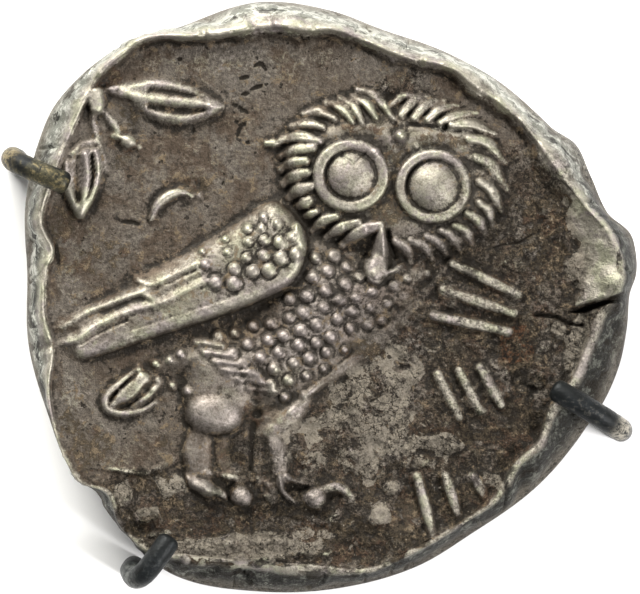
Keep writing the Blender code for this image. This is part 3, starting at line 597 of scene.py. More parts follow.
CRESCENT = """
.25 .32 .4 .4 lobe  -7.29,3.1 -7.05,3.68 -6.5,4.12 -6,4.2 -5.65,4.05
.14 .12  -5.35,4.1
.2 -.1 .4 .8 soft  -7.4,3.6 -7,4.25 -6.2,4.6 -5.35,4.5 -5.1,3.95
.3 -.1 .24 soft  -5.93,3.65
"""
TWIG = table("-9.9,8.4 -9.35,8.5 -9.15,8.2 -9.2,7.55 -9.5,7.35 -9.9,7.75")


def sprig(layer, ribs, cuts):
    """The olive sprig in the corner behind the owl's head."""
    layer.mass(LEVEL_LEAF, 0.3, 0.45, 1.6)
    layer.mass(HANGING_LEAF, 0.34, 0.4, 1.6)
    layer.mass(TWIG, 0.5, 0.18, 1.8)
    draw(SPRIG, ribs, cuts)


def plain_strokes(layer):
    """Three short rows of slanting strokes at the right of the owl."""
    for row in range(3):
        upper = [(4.95 - 0.4 * row, 1.3 - 1.05 * row), (7.6 - 0.2 * row, 0.05 - 0.75 * row)]
        middle = [(4.35 + 0.85 * row, -3.2 + 0.15 * row), (5.2 + 0.85 * row, -4.9 + 0.25 * row)]
        lower = [(3.5 + 1.15 * row, -7.3), (4.1 + 1.05 * row, -9.6 + 0.75 * row)]
        for line in (upper, middle, lower):
            layer.stroke(line, 0.28, 0.36, "dome", (0.85, 0.8))


# ---- the field and its wear

# Places by centre, reach across and up, and amount: where earth stays on the metal, where it is
# bare, and where its tone is violet. The bare places also hold the swollen corner's facet at
# 10.75, 2.2, which is made lighter as painted light for the lamp that falls on it.
EARTH = table("""
-5 -8.95 2.5 .85 .6  -7.4 -7.6 1 .5 .6  -7.3 -9.3 1.1 .6 .55  -4 -6.5 .5 .6 .7
-3.2 -4.85 .5 .5 .8  -1.2 -8.75 1.5 .4 .8  -4.8 -10.75 1.4 .3 .85  -10.6 -5.2 .5 .6 .5
-6.9 -5.9 .35 .3 .6  6.6 -1.2 2.2 .6 .8  7.6 -2 .9 1 1  5.6 -5.6 2.1 .6 .8
7.7 -4.8 .9 1.2 .85  7.4 -6.3 .7 .8 .8  5.2 -8.4 1.5 1.1 .85  1.6 -9.9 3 1.2 .8
.9 -7.9 1.6 .5 .6  1.8 -2.1 1.6 .5 .5  8.7 2.6 1.1 1.9 .7  3.4 -8.3 .8 .9 .75
6.3 .4 1.2 .5 .5  8.4 5.4 .6 1.3 .5  -9.2 9 .8 .7 .4  2.5 3.6 .9 .8 .45  2.7 5.4 .6 .8 .4
1.2 6.75 1.3 .3 .45  4.6 6.3 1.3 .3 .45  -5.5 4.5 .55 .35 .7  -8.2 7 .6 .9 .45
-8.3 5.5 .5 .5 .4  -9.4 1.4 1.3 1 .35  -9.9 -6 1 1 .35  -10.9 2.6 .5 1.4 .4""", 5)
BARE_AND_LIT = table("""
1.7 -5.2 2.1 2.2 .7  2.7 -3.1 1.4 .9 .65  4.6 -5.95 1.2 .35 .7  10 -1.9 .55 1.4 1
9.3 -1.3 .6 .5 .7  -3.3 -10.15 3.4 .6 .85  -.9 -9.75 1.1 .5 .6  -1.8 -11.1 2 .17 1
-6.4 -7.6 .75 .6 .75  -7.5 -8.7 .6 .4 .6  -8.35 -8 .35 .6 .9  -.7 -6 1.2 1.2 .55
2 -8.9 .42 .36 1  2.5 -7.75 .42 .36 .7  10.75 2.2 1.15 2.5 1  3.4 -6.8 1.4 .5 .55
.4 -3.9 .9 .5 .5  6.7 -7.6 .5 .5 .55  3.6 -2.2 .9 .35 .5  .3 -8.9 .5 .25 .5
4.9 6.9 1.2 .4 .4""", 5)
VIOLET = table("""
.6 -1 4.2 3.2 1  -4.7 -4.8 1.6 1.2 .8  -5.3 -6.8 .9 1.4 .8  -2 -7.2 1.5 1.6 .9  3.8 2 2.6 .9 .8
-3.6 -2.9 1.6 1.2 1  10.1 -2 .8 1.5 .9  -3.6 -8.1 .8 .7 .9  -.7 -8.2 .8 .6 .9
.84 4.88 1 1 .3  4.17 4.42 1.05 1.05 .35""", 5)
# Black pits and cracks, from one end to the other, and the lines and scratches near them.
PITS = """
-3.1,9.35 -2.85,9.45 -2.65,9.2
-3.7,8.85 -3.35,8.9
-3.25,8.4 -2.8,8.55
-3.6,8.2 -3.35,8.22
-4,7.8 -3.7,7.66 -3.4,7.45
-3.7,7.66 -3.62,7.5
-3.88,7.1 -3.7,6.93 -3.78,6.52
-3.7,6.93 -3.5,6.98
-8.5,3.02 -8.1,3 -7.78,2.9
-6.2,9.65 -6.08,9.6
-11.4,6.5 -11.42,5.8
-5.62,6.8 -5.58,6.7
-4.42,4.6 -4.35,4.58
-3.42,6.25 -3.34,6.22
-11.15,2.1 -11.05,1.3
"""
FLOW_LINES = """
.12 .035 soft  -1.2,10.3 -1.42,9.47 -1.8,8.48 -2.3,7.5
.12 .035 soft  -1,10 -1.3,9.3
.12 .035 soft  -.1,10 -.3,9.3
.12 .035 soft  .9,9.9 .75,9.2
"""
SCRATCHES = """
.08 -.2 .4 .4  6,1.75 6.94,2.08 7.6,2.18 8.1,2.46 8.6,2.68
.1 -.14 .5 .5  6.3,8.35 6.7,8.1
.1 -.14 .5 .5  8,6.9 8.45,6.35
.09 -.16 .5 .5  8.75,5 9.4,4.6 10.1,3.9
"""
SHELF = """
.13 .14 .6 .4  -8.9,-7 -7.63,-7.2 -6.9,-6.98 -6.3,-6.6
.62 .22 .5 .6 flat  -6.4,-10.1 -4.4,-10.15 -2.4,-10.2 -.2,-10.3
.22 .34 .5 .5  -5,-10.7 -3,-10.72 -1,-10.9 .5,-11.1
.1 .42 .5 .5  -2.6,-11.05 -1.3,-11.15 .8,-11.3
.3 .2 flat  -8.2,-9.8 -7.4,-10.3
.3 .36 .8 .7 cap  -8.55,-7.85 -8.3,-8.2 -8.15,-8.6
.75 .24 .62 cap  -6.4,-7.65
.16 .2 .5 .5  -7.7,-9.75 -6.9,-9.55 -6.2,-9.6
.14 .16 .5 .5  -5.9,-9.3 -4.9,-9.45 -3.9,-9.35
.4 -.1 soft  -8.7,-7.6 -7.6,-7.7 -6,-7
.35 -.16 soft  -7.9,-9.5 -7,-9.5
.3 -.26 soft  -5.6,-8.7 -4.4,-9.05 -3,-8.95 -1.9,-8.6
1 -.2 .45 soft  1.2,-10.4
"""
SPLITS = """
.13 -.5 .4 1 soft  8.9,-.85 10.3,-.55 12,.1
.08 -.24  8.3,-.75 9.1,-.85 9.6,-1.1 10.2,-1.2
"""
# The foot of the swollen corner's facet: height up the coin, and x.
LUMP_FOOT = table("""
-1.2,9.8 -.6,9.6 .38,9.85 .9,10 1.4,10 2.2,9.8 3.45,9.3 4.5,8.9 5.2,8.5""")
FLAKE = table("-8.1,-8.75 -7.3,-8.6 -6.95,-8.95 -7.3,-9.3 -7.95,-9.2")


def corroded(x, y):
    """How far the metal is eaten: most in the lower right quarter and along the bottom, and
    hardly at all at the upper left."""
    low = wave((x + 2.4 - 0.8 * (y + 1)) / 7) * wave((9 - y) / 8)
    foot = wave((-6.4 - y) / 1.4)
    sound = 0.3 * wave((y - x - 6) / 4)
    return wave((0.8 * fractal(x, y, 3, 40) - 0.12 - sound + 0.8 * np.maximum(low, foot)) / 0.6)


def places(x, y, spots, seed):
    """How far each point lies in any of the spots, whose borders are ragged."""
    ragged = 0.45 * fractal(x, y, 1, seed, 5)
    most = np.zeros_like(x)
    for spot_x, spot_y, reach_x, reach_y, amount in spots:
        away = np.hypot((x - spot_x) / reach_x, (y - spot_y) / reach_y)
        most = np.maximum(most, amount * wave((1.15 + ragged - away) / 0.55))
    return most


def cracks(x, y, cell, seed, width):
    """1 along a net of fine wandering lines."""
    return wave(1 - np.abs(fractal(x, y, cell, seed, 3)) / width)


def grit(x, y, eaten):
    """Fine roughness of the struck metal, and flakes with steep borders where it is eaten."""
    rough = 0.022 * fractal(x, y, 1.2, 20) + 0.016 * fractal(x, y, 0.32, 24, 3)
    flakes = wave((fractal(x, y, 1.1, 90, 4) + 0.1) / 0.16)
    rough = rough + eaten * (0.12 * flakes + 0.13 * fractal(x, y, 0.8, 60, 4))
    rough = rough + eaten * 0.08 * fractal(x, y, 0.28, 66, 2)
    return rough - 0.1 * cracks(x, y, 1.3, 80, 0.03) * wave((eaten - 0.35) / 0.4)


def marks(x, y):
    """Black pits, cracks and scratches in the field, and the lines the metal flowed along."""
    lines = Layer(x, y)
    draw(FLOW_LINES, lines)
    for _, _, points in rows(PITS):
        lines.stroke(points, 0.095, -0.36, taper=(0.7, 0.7))
    draw(SCRATCHES, lines)
    return lines.z


def bottom_shelf(x, y):
    """Thin layers of metal along the foot of the coin, and the eaten ground at the lower left."""
    shelf, dips = Layer(x, y), Layer(x, y)
    shelf.mass(FLAKE, 0.3, 0.2, 1.8)
    draw(SHELF, shelf, dips)
    layers = wave((-9.3 - y) / 0.5) * wave((1.5 - x) / 2.5)
    layered = 0.15 * fractal(0.22 * x, y - 0.09 * x, 0.36, 160, 3) * layers
    step = np.interp(x, (-9.4, -7.63, -6.3, -5.6, -3.4, -1.6), (-7, -7.25, -6.75, -7.7, -8.5, -8.9))
    eaten_away = -0.24 * wave((step - y) / 0.14) * wave((y + 9.75) / 0.3) * wave((-0.8 - x) / 1.2)
    return shelf.z + dips.z + layered + eaten_away


def relief(x, y):
    """The owl side's height over the field inside the rim's crest, how eaten it is there, how
    deep it is cut, and how high its figures stand."""
    figures, leaves, ribs, cuts = (Layer(x, y) for _ in range(4))
    for part in (face, wing, breast, flank):
        part(figures, cuts)
    draw(FEET, figures, cuts)
    plain_strokes(figures)
    sprig(leaves, ribs, cuts)
    draw(CRESCENT, ribs, cuts)
    draw(TAIL_FEATHERS, figures, cuts)
    forms = owl_forms(x, y)
    raised = np.maximum(figures.z, leaves.z + ribs.z)
    over = wave((forms + raised - 0.25) / 0.4)
    eaten = corroded(x, y) * (1 - 0.6 * over)
    black = marks(x, y)
    plates = 0.12 * eaten * wave((places(x, y, BARE_AND_LIT, 196) - 0.35) / 0.25)
    ground = (grit(x, y, eaten) + plates) * (1 - 0.3 * over) * (1 - 0.85 * wave(raised / 0.2))
    height = forms + raised + cuts.z + ground + black + bottom_shelf(x, y)
    bared = wave(1 - raised / 0.12)
    return height, eaten, np.minimum(cuts.z * bared, black), forms + raised


def lump(x, y):
    """The swollen corner on the right: a slanting facet from its foot up to the crest, which
    breaks off at the split."""
    heights, feet_x = LUMP_FOOT.T
    in_from_foot = x - np.interp(y, heights, feet_x) + 0.08 * fractal(x, y, 0.9, 170, 3)
    step = 0.16 * wave(in_from_foot / 0.35)
    facet = unit((in_from_foot + 0.15) / 2.1)
    facet = facet + 0.05 * fractal(x, y, 0.55, 174, 4)
    peak = 0.3 * wave(1 - np.hypot(x - 11.35, y - 0.7) / 0.75)
    above = wave((y + 0.85 - 0.31 * (x - 8.9)) / 0.16)
    return (step + 1.32 * facet + peak) * above * wave((5.4 - y) / 1.6) * (in_from_foot > -0.15)


def inner_surface(x, y, bearing, away):
    """The owl side inside the rim's crest, at points that far from it: height over the field,
    how eaten it is, how deep it is cut, and how high its figures and the swollen corner stand."""
    height, width = around_rim(1)(bearing), around_rim(2)(bearing)
    ragged = 1 + 0.4 * fractal(x, y, 1.1, 110, 4)
    out = unit(away / (width * ragged))
    slope = 1 - 0.5 * wave(out) - 0.5 * out * (2 - out)
    chips = 0.22 * wave((fractal(x, y, 0.9, 120, 3) - 0.12) / 0.5) * wave(1 - away / 0.45)
    rim = (height - chips + 0.05 * fractal(x, y, 0.35, 124, 2)) * slope
    corner = lump(x, y)
    rim = blend(rim, corner, 0.2)
    split = Layer(x, y)
    draw(SPLITS, split)
    low, eaten, cut, rise = relief(x, y)
    rise = np.maximum(np.maximum(rise, corner), 0.75 * wave(1 - away / (0.1 + 0.27 * height)))
    return blend(rim, low) + split.z, eaten, np.minimum(cut, split.z), rise


# ---- the side that it lies on

HELMET_AND_NECK = table("""
.2,8.1 -2.6,7.7 -4.9,5.8 -5.9,2.9 -5.6,-.3 -4.8,-2.9 -4.6,-5.2 -4.4,-7.1 -1.2,-8.2 2.4,-7.5 2.1,-6.2
2.5,-5.2 3.6,-4.95 4.35,-4.4 4.4,-3.6 4.65,-2.8 4.6,-2.1 5.2,-1.5 5,-.5 4.75,.7 4.9,2.3 4.5,4.7 2.9,7""")
CREST_AND_LINES = """
.6 .45 .5 .5  -5.6,-3.6 -7.1,.2 -6.9,4.2 -4.6,7.7 -.8,9.3 3.4,8.6
.44 -.26 soft  4.9,2.7 2.6,2.6 .4,1.7 -.9,.1 -2.4,-2.4 -4.7,-3.7
.4 -.2 soft  -4.8,3.4 -2.8,5.2 -.2,5.4 1.4,4.1 .6,3.1
.36 -.2 soft  4.2,.75 3.3,1.1 2.3,.8
.75 -.16 .5 soft  3.2,-.1
.36 -.2 soft  4.5,-2.6 3.9,-2.65 3.2,-2.55
.42 -.2 soft  2.3,-5.5 .8,-4.6 -.5,-3 -.9,-1.6
"""


def worn_head(x, y):
    """A plain helmeted head in profile, turned to face +x when this side is seen upright."""
    head, crest, lines = (Layer(-x, y) for _ in range(3))
    head.mass(HELMET_AND_NECK, 0.55, 0.8, 1.8)
    draw(CREST_AND_LINES, crest, lines)
    return np.maximum(head.z, crest.z), lines.z


def worn_side(bearing, share):
    """Points of the other side, out to the girdle, and the masks that its patina and its painted
    shade follow. The highest of it is worn to one flat spot."""
    ratio = 1 - (1 - share) ** 1.6
    girdle = around_outline(GIRDLE)(bearing)
    x, y = from_middle(bearing, girdle * ratio)
    bowl = 1 - np.sqrt(unit(1 - ratio ** 3.2))
    fade = wave((1 - ratio) / 0.1)
    dents = 0.05 * fractal(x, y, 2.2, 130) + 0.02 * fractal(x, y, 0.5, 140)
    raised, lines = worn_head(x, y)
    z = BELLY_Z + (GIRDLE_Z - BELLY_Z) * bowl - (raised - dents) * fade
    # The head's grooves are given dark masks, partly for dirt in them and partly as painted shade.
    masks = {"rise": 0.4 * raised * fade, "cut": -0.4 * lines * fade,
             "over": wave((share - 0.8) / 0.2), "near": (0.14 * raised + 0.6 * lines) * fade,
             "eaten": 0.5 * wave(dents / 0.06)}
    return x, y, np.maximum(z, 0) - lines * fade, masks


# ---- the coin's mesh

# Steps across and up to the near points that a value is averaged over.
NEAR_STEPS = ((0.022, 0.01), (-0.01, 0.022), (-0.022, -0.01), (0.01, -0.022))

# The raster that heights are compared on: its lower corner, cell and side, and how far off the
# near and the far surroundings reach.
RASTER_LOW = -13
RASTER_CELL = 0.08
RASTER_SIDE = 326
NEAR_REACH = 0.22
FAR_REACH = 0.8


def shown(name, data):
    obj = bpy.data.objects.new(name, data)
    bpy.context.scene.collection.objects.link(obj)
    return obj


def mesh_of(shape, name):
    mesh = bpy.data.meshes.new(name)
    shape.to_mesh(mesh)
    shape.free()
    return mesh


def smoothed_surface(x, y, bearing, away):
    """The surface's values averaged over four near points, so that fine lines run smoothly."""
    near = [inner_surface(x + across, y + up, bearing, away) for across, up in NEAR_STEPS]
    return sum(np.array(values) for values in near) / len(near)


def owl_side(bearing, share):
    """Points of the owl side, over the rim's crest and down the edge to the girdle, and the
    masks that its patina and its painted light and shade follow there."""
    crest = around_outline(CREST)(bearing)
    girdle = around_outline(GIRDLE)(bearing)
    over = unit((share - CREST_SHARE) / (1 - CREST_SHARE))
    radius = crest * np.minimum(share / CREST_SHARE, 1)
    x, y = from_middle(bearing, radius)
    height, eaten, cut, rise = smoothed_surface(x, y, bearing, crest - radius)
    top = FIELD_Z + height
    out = (girdle - crest) * (0.55 * over + 0.45 * np.sin(over * math.pi / 2))
    down = 0.55 * over + 0.45 * (1 - np.cos(over * math.pi / 2))
    z = top - (top - GIRDLE_Z) * down
    dents = 0.16 * fractal(x + out, y + out, 1.3, 150, 5) - 0.1 * cracks(x, y + out, 2.2, 154, 0.05)
    dents = dents * wave(over / 0.25) * wave((1 - over) / 0.3)
    x = x + (out + dents) * np.cos(bearing)
    y = y + (out + dents) * np.sin(bearing)
    # The cut mask darkens grooves and pits, partly as painted shade; the bare mask also lightens the
    # swollen corner's facet as painted light.
    masks = {"eaten": eaten, "cut": -cut, "rise": rise, "over": over,
             "earth": places(x, y, EARTH, 190), "bare": places(x, y, BARE_AND_LIT, 196),
             "violet": places(x, y, VIOLET, 202)}
    return x, y, z + dents, masks


def round_grid(co):
    """Bearing and share of the way out, for the corners of a square grid from -1 to 1 whose
    rings of squares are laid out as rings of the coin."""
    a, b = co[:, 0], co[:, 1]
    wide = np.abs(a) >= np.abs(b)
    share = np.maximum(np.abs(a), np.abs(b))
    safe = np.where(share > 0, share, 1)
    lean = math.pi / 4 * np.where(wide, b, -a) / safe
    quarter = np.where(wide, 0, math.pi / 2)
    flip = np.where(np.where(wide, a, b) < 0, -1, 1)
    return np.arctan2(flip * np.sin(quarter + lean * flip), flip * np.cos(quarter + lean * flip)), share


def two_grids():
    """A fine and a coarse square grid, one below the other and joined along their borders."""
    shape = bmesh.new()
    bmesh.ops.create_grid(shape, x_segments=OWL_SQUARES, y_segments=OWL_SQUARES, size=1)
    coarse = bmesh.ops.create_grid(shape, x_segments=BACK_SQUARES, y_segments=BACK_SQUARES, size=1)
    border = [edge for corner in coarse["verts"] for edge in corner.link_edges if edge.is_boundary]
    for corner in coarse["verts"]:
        corner.co.z = 0 if corner.is_boundary else -1
    # The four corner squares are split to the inside, so that none of their faces ends up flat
    # on a face of the fine grid.
    for corner in [corner for corner in coarse["verts"] if len(corner.link_edges) == 2]:
        square = corner.link_faces[0]
        inner = next(other for other in square.verts if not other.is_boundary)
        bmesh.utils.face_split(square, corner, inner)
    bmesh.ops.subdivide_edges(shape, edges=list(set(border)), cuts=OWL_SQUARES // BACK_SQUARES - 1)
    bmesh.ops.remove_doubles(shape, verts=shape.verts[:], dist=1e-5)
    bmesh.ops.recalc_face_normals(shape, faces=shape.faces[:])
    return mesh_of(shape, "struck_coin")


def blurred(heights, cells):
    """A square raster of heights, smoothed over that many cells."""
    step = np.fft.fftfreq(len(heights))
    kept = np.exp(-2 * (math.pi * cells) ** 2 * (step[:, None] ** 2 + step[None, :] ** 2))
    return np.fft.ifft2(np.fft.fft2(heights) * kept).real


def sampled(raster, x, y):
    """The raster's values at the points, between its cells."""
    u, v = (x - RASTER_LOW) / RASTER_CELL, (y - RASTER_LOW) / RASTER_CELL
    i = np.clip(np.floor(u).astype(int), 0, len(raster) - 2)
    j = np.clip(np.floor(v).astype(int), 0, len(raster) - 2)
    return between(raster, i, j, unit(u - i), unit(v - j))


def prominence(x, y):
    """How far each point of the owl side stands over what is round it, near by and further off."""
    steps = RASTER_LOW + RASTER_CELL * np.arange(RASTER_SIDE)
    across, up = (grid.ravel() for grid in np.meshgrid(steps, steps, indexing="ij"))
    bearing = np.arctan2(up - MIDDLE[1], across - MIDDLE[0])
    radius = np.hypot(up - MIDDLE[1], across - MIDDLE[0])
    away = np.maximum(around_outline(CREST)(bearing) - radius, 0)
    raster = inner_surface(across, up, bearing, away)[0].reshape(RASTER_SIDE, -1)
    return [sampled(raster - blurred(raster, reach / RASTER_CELL), x, y)
            for reach in (NEAR_REACH, FAR_REACH)]


def points_of(mesh):
    co = np.empty(3 * len(mesh.vertices))
    mesh.vertices.foreach_get("co", co)
    return co.reshape(-1, 3)


def store(mesh, name, values):
    mesh.attributes.new(name, "FLOAT", "POINT").data.foreach_set("value", values.astype(np.float32))


def make_coin(middle):
    """The coin's one closed surface, with what its patina and its painted light and shade follow
    kept at its points.
    """
    mesh = two_grids()
    co = points_of(mesh)
    under = co[:, 2] < -0.5
    bearing, share = round_grid(co)
    x, y, z, masks = owl_side(bearing[~under], share[~under])
    masks["near"], masks["far"] = prominence(x, y)
    # The outer edge's tone by bearing: partly real toning, partly painted light on the lit top and
    # painted shade on the lower right.
    pale = around(np.radians(EDGE_LIGHT_AND_TONES[:, 0]), EDGE_LIGHT_AND_TONES[:, 1])(bearing)
    # Painted highlight: on the lit side the band along the rim is made to read as brighter, rubbed metal.
    masks["near"] += 0.1 * pale[~under] * wave((share[~under] - 0.72) / 0.16)
    inner = wave((1 - masks["over"]) / 0.5)
    co[~under] = np.stack([x, y, z], axis=1)
    x, y, z, worn = worn_side(bearing[under], share[under])
    co[under] = np.stack([x, y, z], axis=1)
    for name, values in masks.items():
        whole = np.zeros(len(co))
        whole[~under] = values if name in ("over", "eaten") else values * inner
        whole[under] = worn.get(name, 0)
        store(mesh, name, whole)
    store(mesh, "pale", pale)
    co[:, :2] += middle
    mesh.vertices.foreach_set("co", (co * MM).ravel())
    mesh.shade_smooth()
    mesh.update()
    return shown("struck_coin", mesh)


# ---- the hooks

WIRE_RADIUS = 0.47
WIRE_SIDES = 24
DENT_DEPTH = 0.02

# Each wire's way from its tip over its bend, which is the fourth point, to its foot.
HOOKS = {
    "display_hook_left": table("""
        -10.6 4.5 5.25  -11.5 4.87 5.36  -12.4 5.25 5.18  -12.85 5.5 4.65  -12.93 5.6 3.8
        -12.93 5.6 2.3  -12.93 5.6 0""", 3),
    "display_hook_right": table("""
        8.95 -3.7 5.4  9.8 -4.2 5.56  10.9 -4.87 5.42  11.6 -5.32 4.8  11.78 -5.45 3.9
        11.78 -5.45 2.3  11.78 -5.45 0""", 3),
    "display_hook_lower": table("""
        -6.45 -9.75 5.2  -6.95 -10.45 5.35  -7.5 -11.15 5.18  -7.9 -11.4 4.6  -8.1 -11.2 3.8
        -8.1 -11.15 2.3  -8.1 -11.15 0""", 3),
}


def wire_rings(route):
    """Centres and radii of the rings along a wire whose first end is rounded off."""
    line = curve_through(route, steps=10)
    start = line[0]
    way = (line[1] - start) / np.linalg.norm(line[1] - start)
    turns = np.radians([8, 25, 42, 58, 74])
    blunt = 0.6 * WIRE_RADIUS
    nose = [start + way * blunt * (1 - math.cos(turn)) for turn in turns]
    beyond = line[np.linalg.norm(line - start, axis=1) > blunt]
    centres = np.concatenate([nose, beyond])
    radii = np.full(len(centres), WIRE_RADIUS)
    radii[:len(nose)] *= np.sin(turns) ** 0.6
    return centres, radii


def make_hook(name, route, middle):
    """A bent wire from its tip over the rim to its foot, with small dents along it."""
    centres, radii = wire_rings(route)
    ways = np.gradient(centres, axis=0)
    ways /= np.linalg.norm(ways, axis=1, keepdims=True)
    side = np.cross(ways[0], (0, 0, 1))
    turns = np.arange(WIRE_SIDES) * 2 * math.pi / WIRE_SIDES
    shape = bmesh.new()
    rings = []
    random = np.random.default_rng(len(name))
    dents = random.uniform(-DENT_DEPTH, 0, (len(centres), WIRE_SIDES))
    for centre, radius, way, dent in zip(centres, radii, ways, dents):
        side = side - way * (side @ way)
        side /= np.linalg.norm(side)
        up = np.cross(way, side)
        reach = radius * (1 + dent)
        ring = centre + reach[:, None] * (np.outer(np.cos(turns), side) + np.outer(np.sin(turns), up))
        ring[:, :2] += middle
        ring[:, 2] = np.maximum(ring[:, 2], 0)
        rings.append([shape.verts.new(point * MM) for point in ring])
    for first, second in zip(rings, rings[1:]):
        for k in range(WIRE_SIDES):
            shape.faces.new((first[k], first[k - 1], second[k - 1], second[k]))
    shape.faces.new(rings[0])
    shape.faces.new(rings[-1][::-1])
    bmesh.ops.recalc_face_normals(shape, faces=shape.faces[:])
    mesh = mesh_of(shape, name + "_wire")
    mesh.shade_smooth()
    return shown(name + "_wire", mesh)


def bend_wear(mesh, route, middle):
    """How rubbed each point of a hook is: most on the outside of its bend."""
    co = points_of(mesh) / MM - (*middle, 0)
    return wave(1 - (np.linalg.norm(co - route[3], axis=1) - 0.3) / 0.6)


# ---- materials

class Value:
    """What a node puts out, and the nodes that make the next value from it."""

    def __init__(self, nodes, socket):
        self.nodes = nodes
        self.socket = socket

    def math(self, operation, other):
        return self.nodes.add("Math", 0, {0: self, 1: other}, operation=operation)

    def __add__(self, other):
        return self.math("ADD", other)

    def __mul__(self, other):
        return self.math("MULTIPLY", other)

    def __or__(self, other):
        """The greater of the two."""
        return self.math("MAXIMUM", other)

    def at(self, low, high, to_low=0, to_high=1):
        """The value moved from one range to another, and kept inside it."""
        inputs = {"Value": self, "From Min": low, "From Max": high, "To Min": to_low, "To Max": to_high}
        return self.nodes.add("MapRange", "Result", inputs, interpolation_type="SMOOTHSTEP")

    def mix(self, low, high):
        """One shade where the value is 0, and the other where it is 1."""
        inputs = {"Factor": self, 6: low, 7: high}
        return self.nodes.add("Mix", 2, inputs, data_type="RGBA")

    def bump(self, depth, **normal):
        inputs = {"Height": self, "Distance": depth * MM, "Strength": 1, **normal}
        return self.nodes.add("Bump", "Normal", inputs)


class Nodes:
    """Builds one material's nodes."""

    def __init__(self, name):
        self.material = bpy.data.materials.new(name)
        self.material.use_nodes = True
        self.tree = self.material.node_tree
        self.place = self.add("TexCoord", "Object", {})

    def put(self, socket, value):
        """Links a value to the socket, or sets the socket to a constant."""
        if isinstance(value, Value):
            self.tree.links.new(value.socket, socket)
        else:
            socket.default_value = value

    def add(self, kind, output, inputs, **settings):
        node = self.tree.nodes.new("ShaderNode" + kind)
        for key, value in settings.items():
            setattr(node, key, value)
        for key, value in inputs.items():
            self.put(node.inputs[key], value)
        return Value(self, node.outputs[output])

    def finish(self, **values):
        """The material, with its shader's inputs set, underscores standing for spaces."""
        shader = self.tree.nodes["Principled BSDF"]
        for name, value in values.items():
            self.put(shader.inputs[name.replace("_", " ")], value)
        return self.material

    def mask(self, name):
        return self.add("Attribute", "Fac", {}, attribute_name=name)

    def noise(self, size, detail, roughness, bend=0):
        """Noise whose largest blots are about size millimetres across."""
        inputs = {"Vector": self.place, "Scale": 1 / (size * MM), "Detail": detail,
                  "Roughness": roughness, "Distortion": bend}
        return self.add("TexNoise", "Fac", inputs)

    def cracks(self, size, bend):
        """0 along a net of wandering cracks about size millimetres apart, and more between."""
        inputs = {"Vector": self.place, "Scale": 2 / (size * MM), "Detail": 2}
        wander = self.add("TexNoise", "Color", inputs)
        inputs = {0: wander, 1: (bend * size * MM,) * 3, 2: self.place}
        bent = self.add("VectorMath", 0, inputs, operation="MULTIPLY_ADD")
        inputs = {"Vector": bent, "Scale": 1 / (size * MM)}
        return self.add("TexVoronoi", "Distance", inputs, feature="DISTANCE_TO_EDGE")


SILVER = (0.365, 0.34, 0.28, 1)
SILVER_GREEN = (0.345, 0.34, 0.25, 1)
SILVER_VIOLET = (0.3, 0.265, 0.245, 1)
TONED = (0.084, 0.069, 0.054, 1)
TONED_GREY = (0.104, 0.09, 0.074, 1)
TONED_BROWN = (0.066, 0.049, 0.035, 1)
ASHEN = (0.16, 0.141, 0.112, 1)
EARTHY = (0.04, 0.031, 0.02, 1)
REDDISH = (0.045, 0.028, 0.018, 1)
LOAMY = (0.138, 0.104, 0.066, 1)
UMBER = (0.01, 0.008, 0.0055, 1)
RUST = (0.062, 0.029, 0.014, 1)
CHALK = (0.42, 0.38, 0.31, 1)
# The pale edge shade stands partly for painted light on the lit top of the edge, and the black edge shade
# partly for painted shade on its lower right.
EDGE_PALE_AND_LIT = (0.45, 0.45, 0.4, 1)
EDGE_GREY = (0.19, 0.195, 0.165, 1)
EDGE_BLACK_AND_SHADE = (0.02, 0.02, 0.018, 1)

# The masks kept in the coin's mesh, and the noises of its skin: size in millimetres, detail,
# roughness and bend.
COIN_MASKS = ("near", "far", "eaten", "cut", "rise", "over", "pale", "earth", "bare", "violet")
COIN_NOISES = {
    "dust": (0.075, 2, 0.7), "grain": (0.17, 3, 0.8), "pores": (0.33, 2, 0.55),
    "specks": (0.5, 5, 0.75, 0.3), "jagged": (0.8, 3, 0.6, 0.6), "greens": (0.9, 3, 0.6),
    "stains": (0.9, 4, 0.74, 0.6), "patches": (1.1, 4, 0.74), "blots": (1.7, 4, 0.7, 0.5),
    "clouds": (3, 3, 0.65),
}


def coin_marks():
    """The masks and noises that the coin's skin follows."""
    n = Nodes("struck_silver")
    m = SimpleNamespace(nodes=n, net=n.cracks(0.45, 0.8))
    for name in COIN_MASKS:
        setattr(m, name, n.mask(name))
    for name, settings in COIN_NOISES.items():
        setattr(m, name, n.noise(*settings))
    m.foul = m.eaten.at(0, 0.8)
    m.ragged = m.specks.at(0.32, 0.68, -0.5, 0.5)
    m.coarse = m.rise.at(0.08, 0.4, 1, 0.45)
    m.height = m.near + m.far * 0.3
    m.unsure = m.specks.at(0.3, 0.7, -0.06, 0.06) + m.grain.at(0.3, 0.7, -0.05, 0.05)
    return m


def struck_skin(m):
    """Bright metal where handling rubs it, toned brown on the field, and in its hollows dark dirt
    with painted shade. Also the bright metal by itself."""
    field = m.clouds.at(0.42, 0.58).mix(TONED_GREY, TONED)
    field = m.blots.at(0.47, 0.62).mix(field, TONED_BROWN)
    metal = m.greens.at(0.45, 0.6).mix(SILVER, SILVER_GREEN)
    metal = (m.blots.at(0.5, 0.38) | m.violet).mix(metal, SILVER_VIOLET)
    lifted = m.rise.at(0.25, 0.95, 0, 0.6) * m.specks.at(0.4, 0.6, 0.5, 1)
    rubbed = (m.height + m.unsure).at(0, 0.22, 0, 0.9) * m.violet.at(0, 1, 1, 0.6)
    skin = rubbed.mix(lifted.mix(field, metal), metal)
    # Painted shade: hollows and the feet of raised forms go dark brown, partly as dirt and partly as the
    # shade that falls there.
    hollow_dirt_and_shade = (m.near + m.unsure * 0.4).at(0, -0.055, 0, 0.85)
    return hollow_dirt_and_shade.mix(skin, hollow_dirt_and_shade.mix(EARTHY, UMBER)), metal


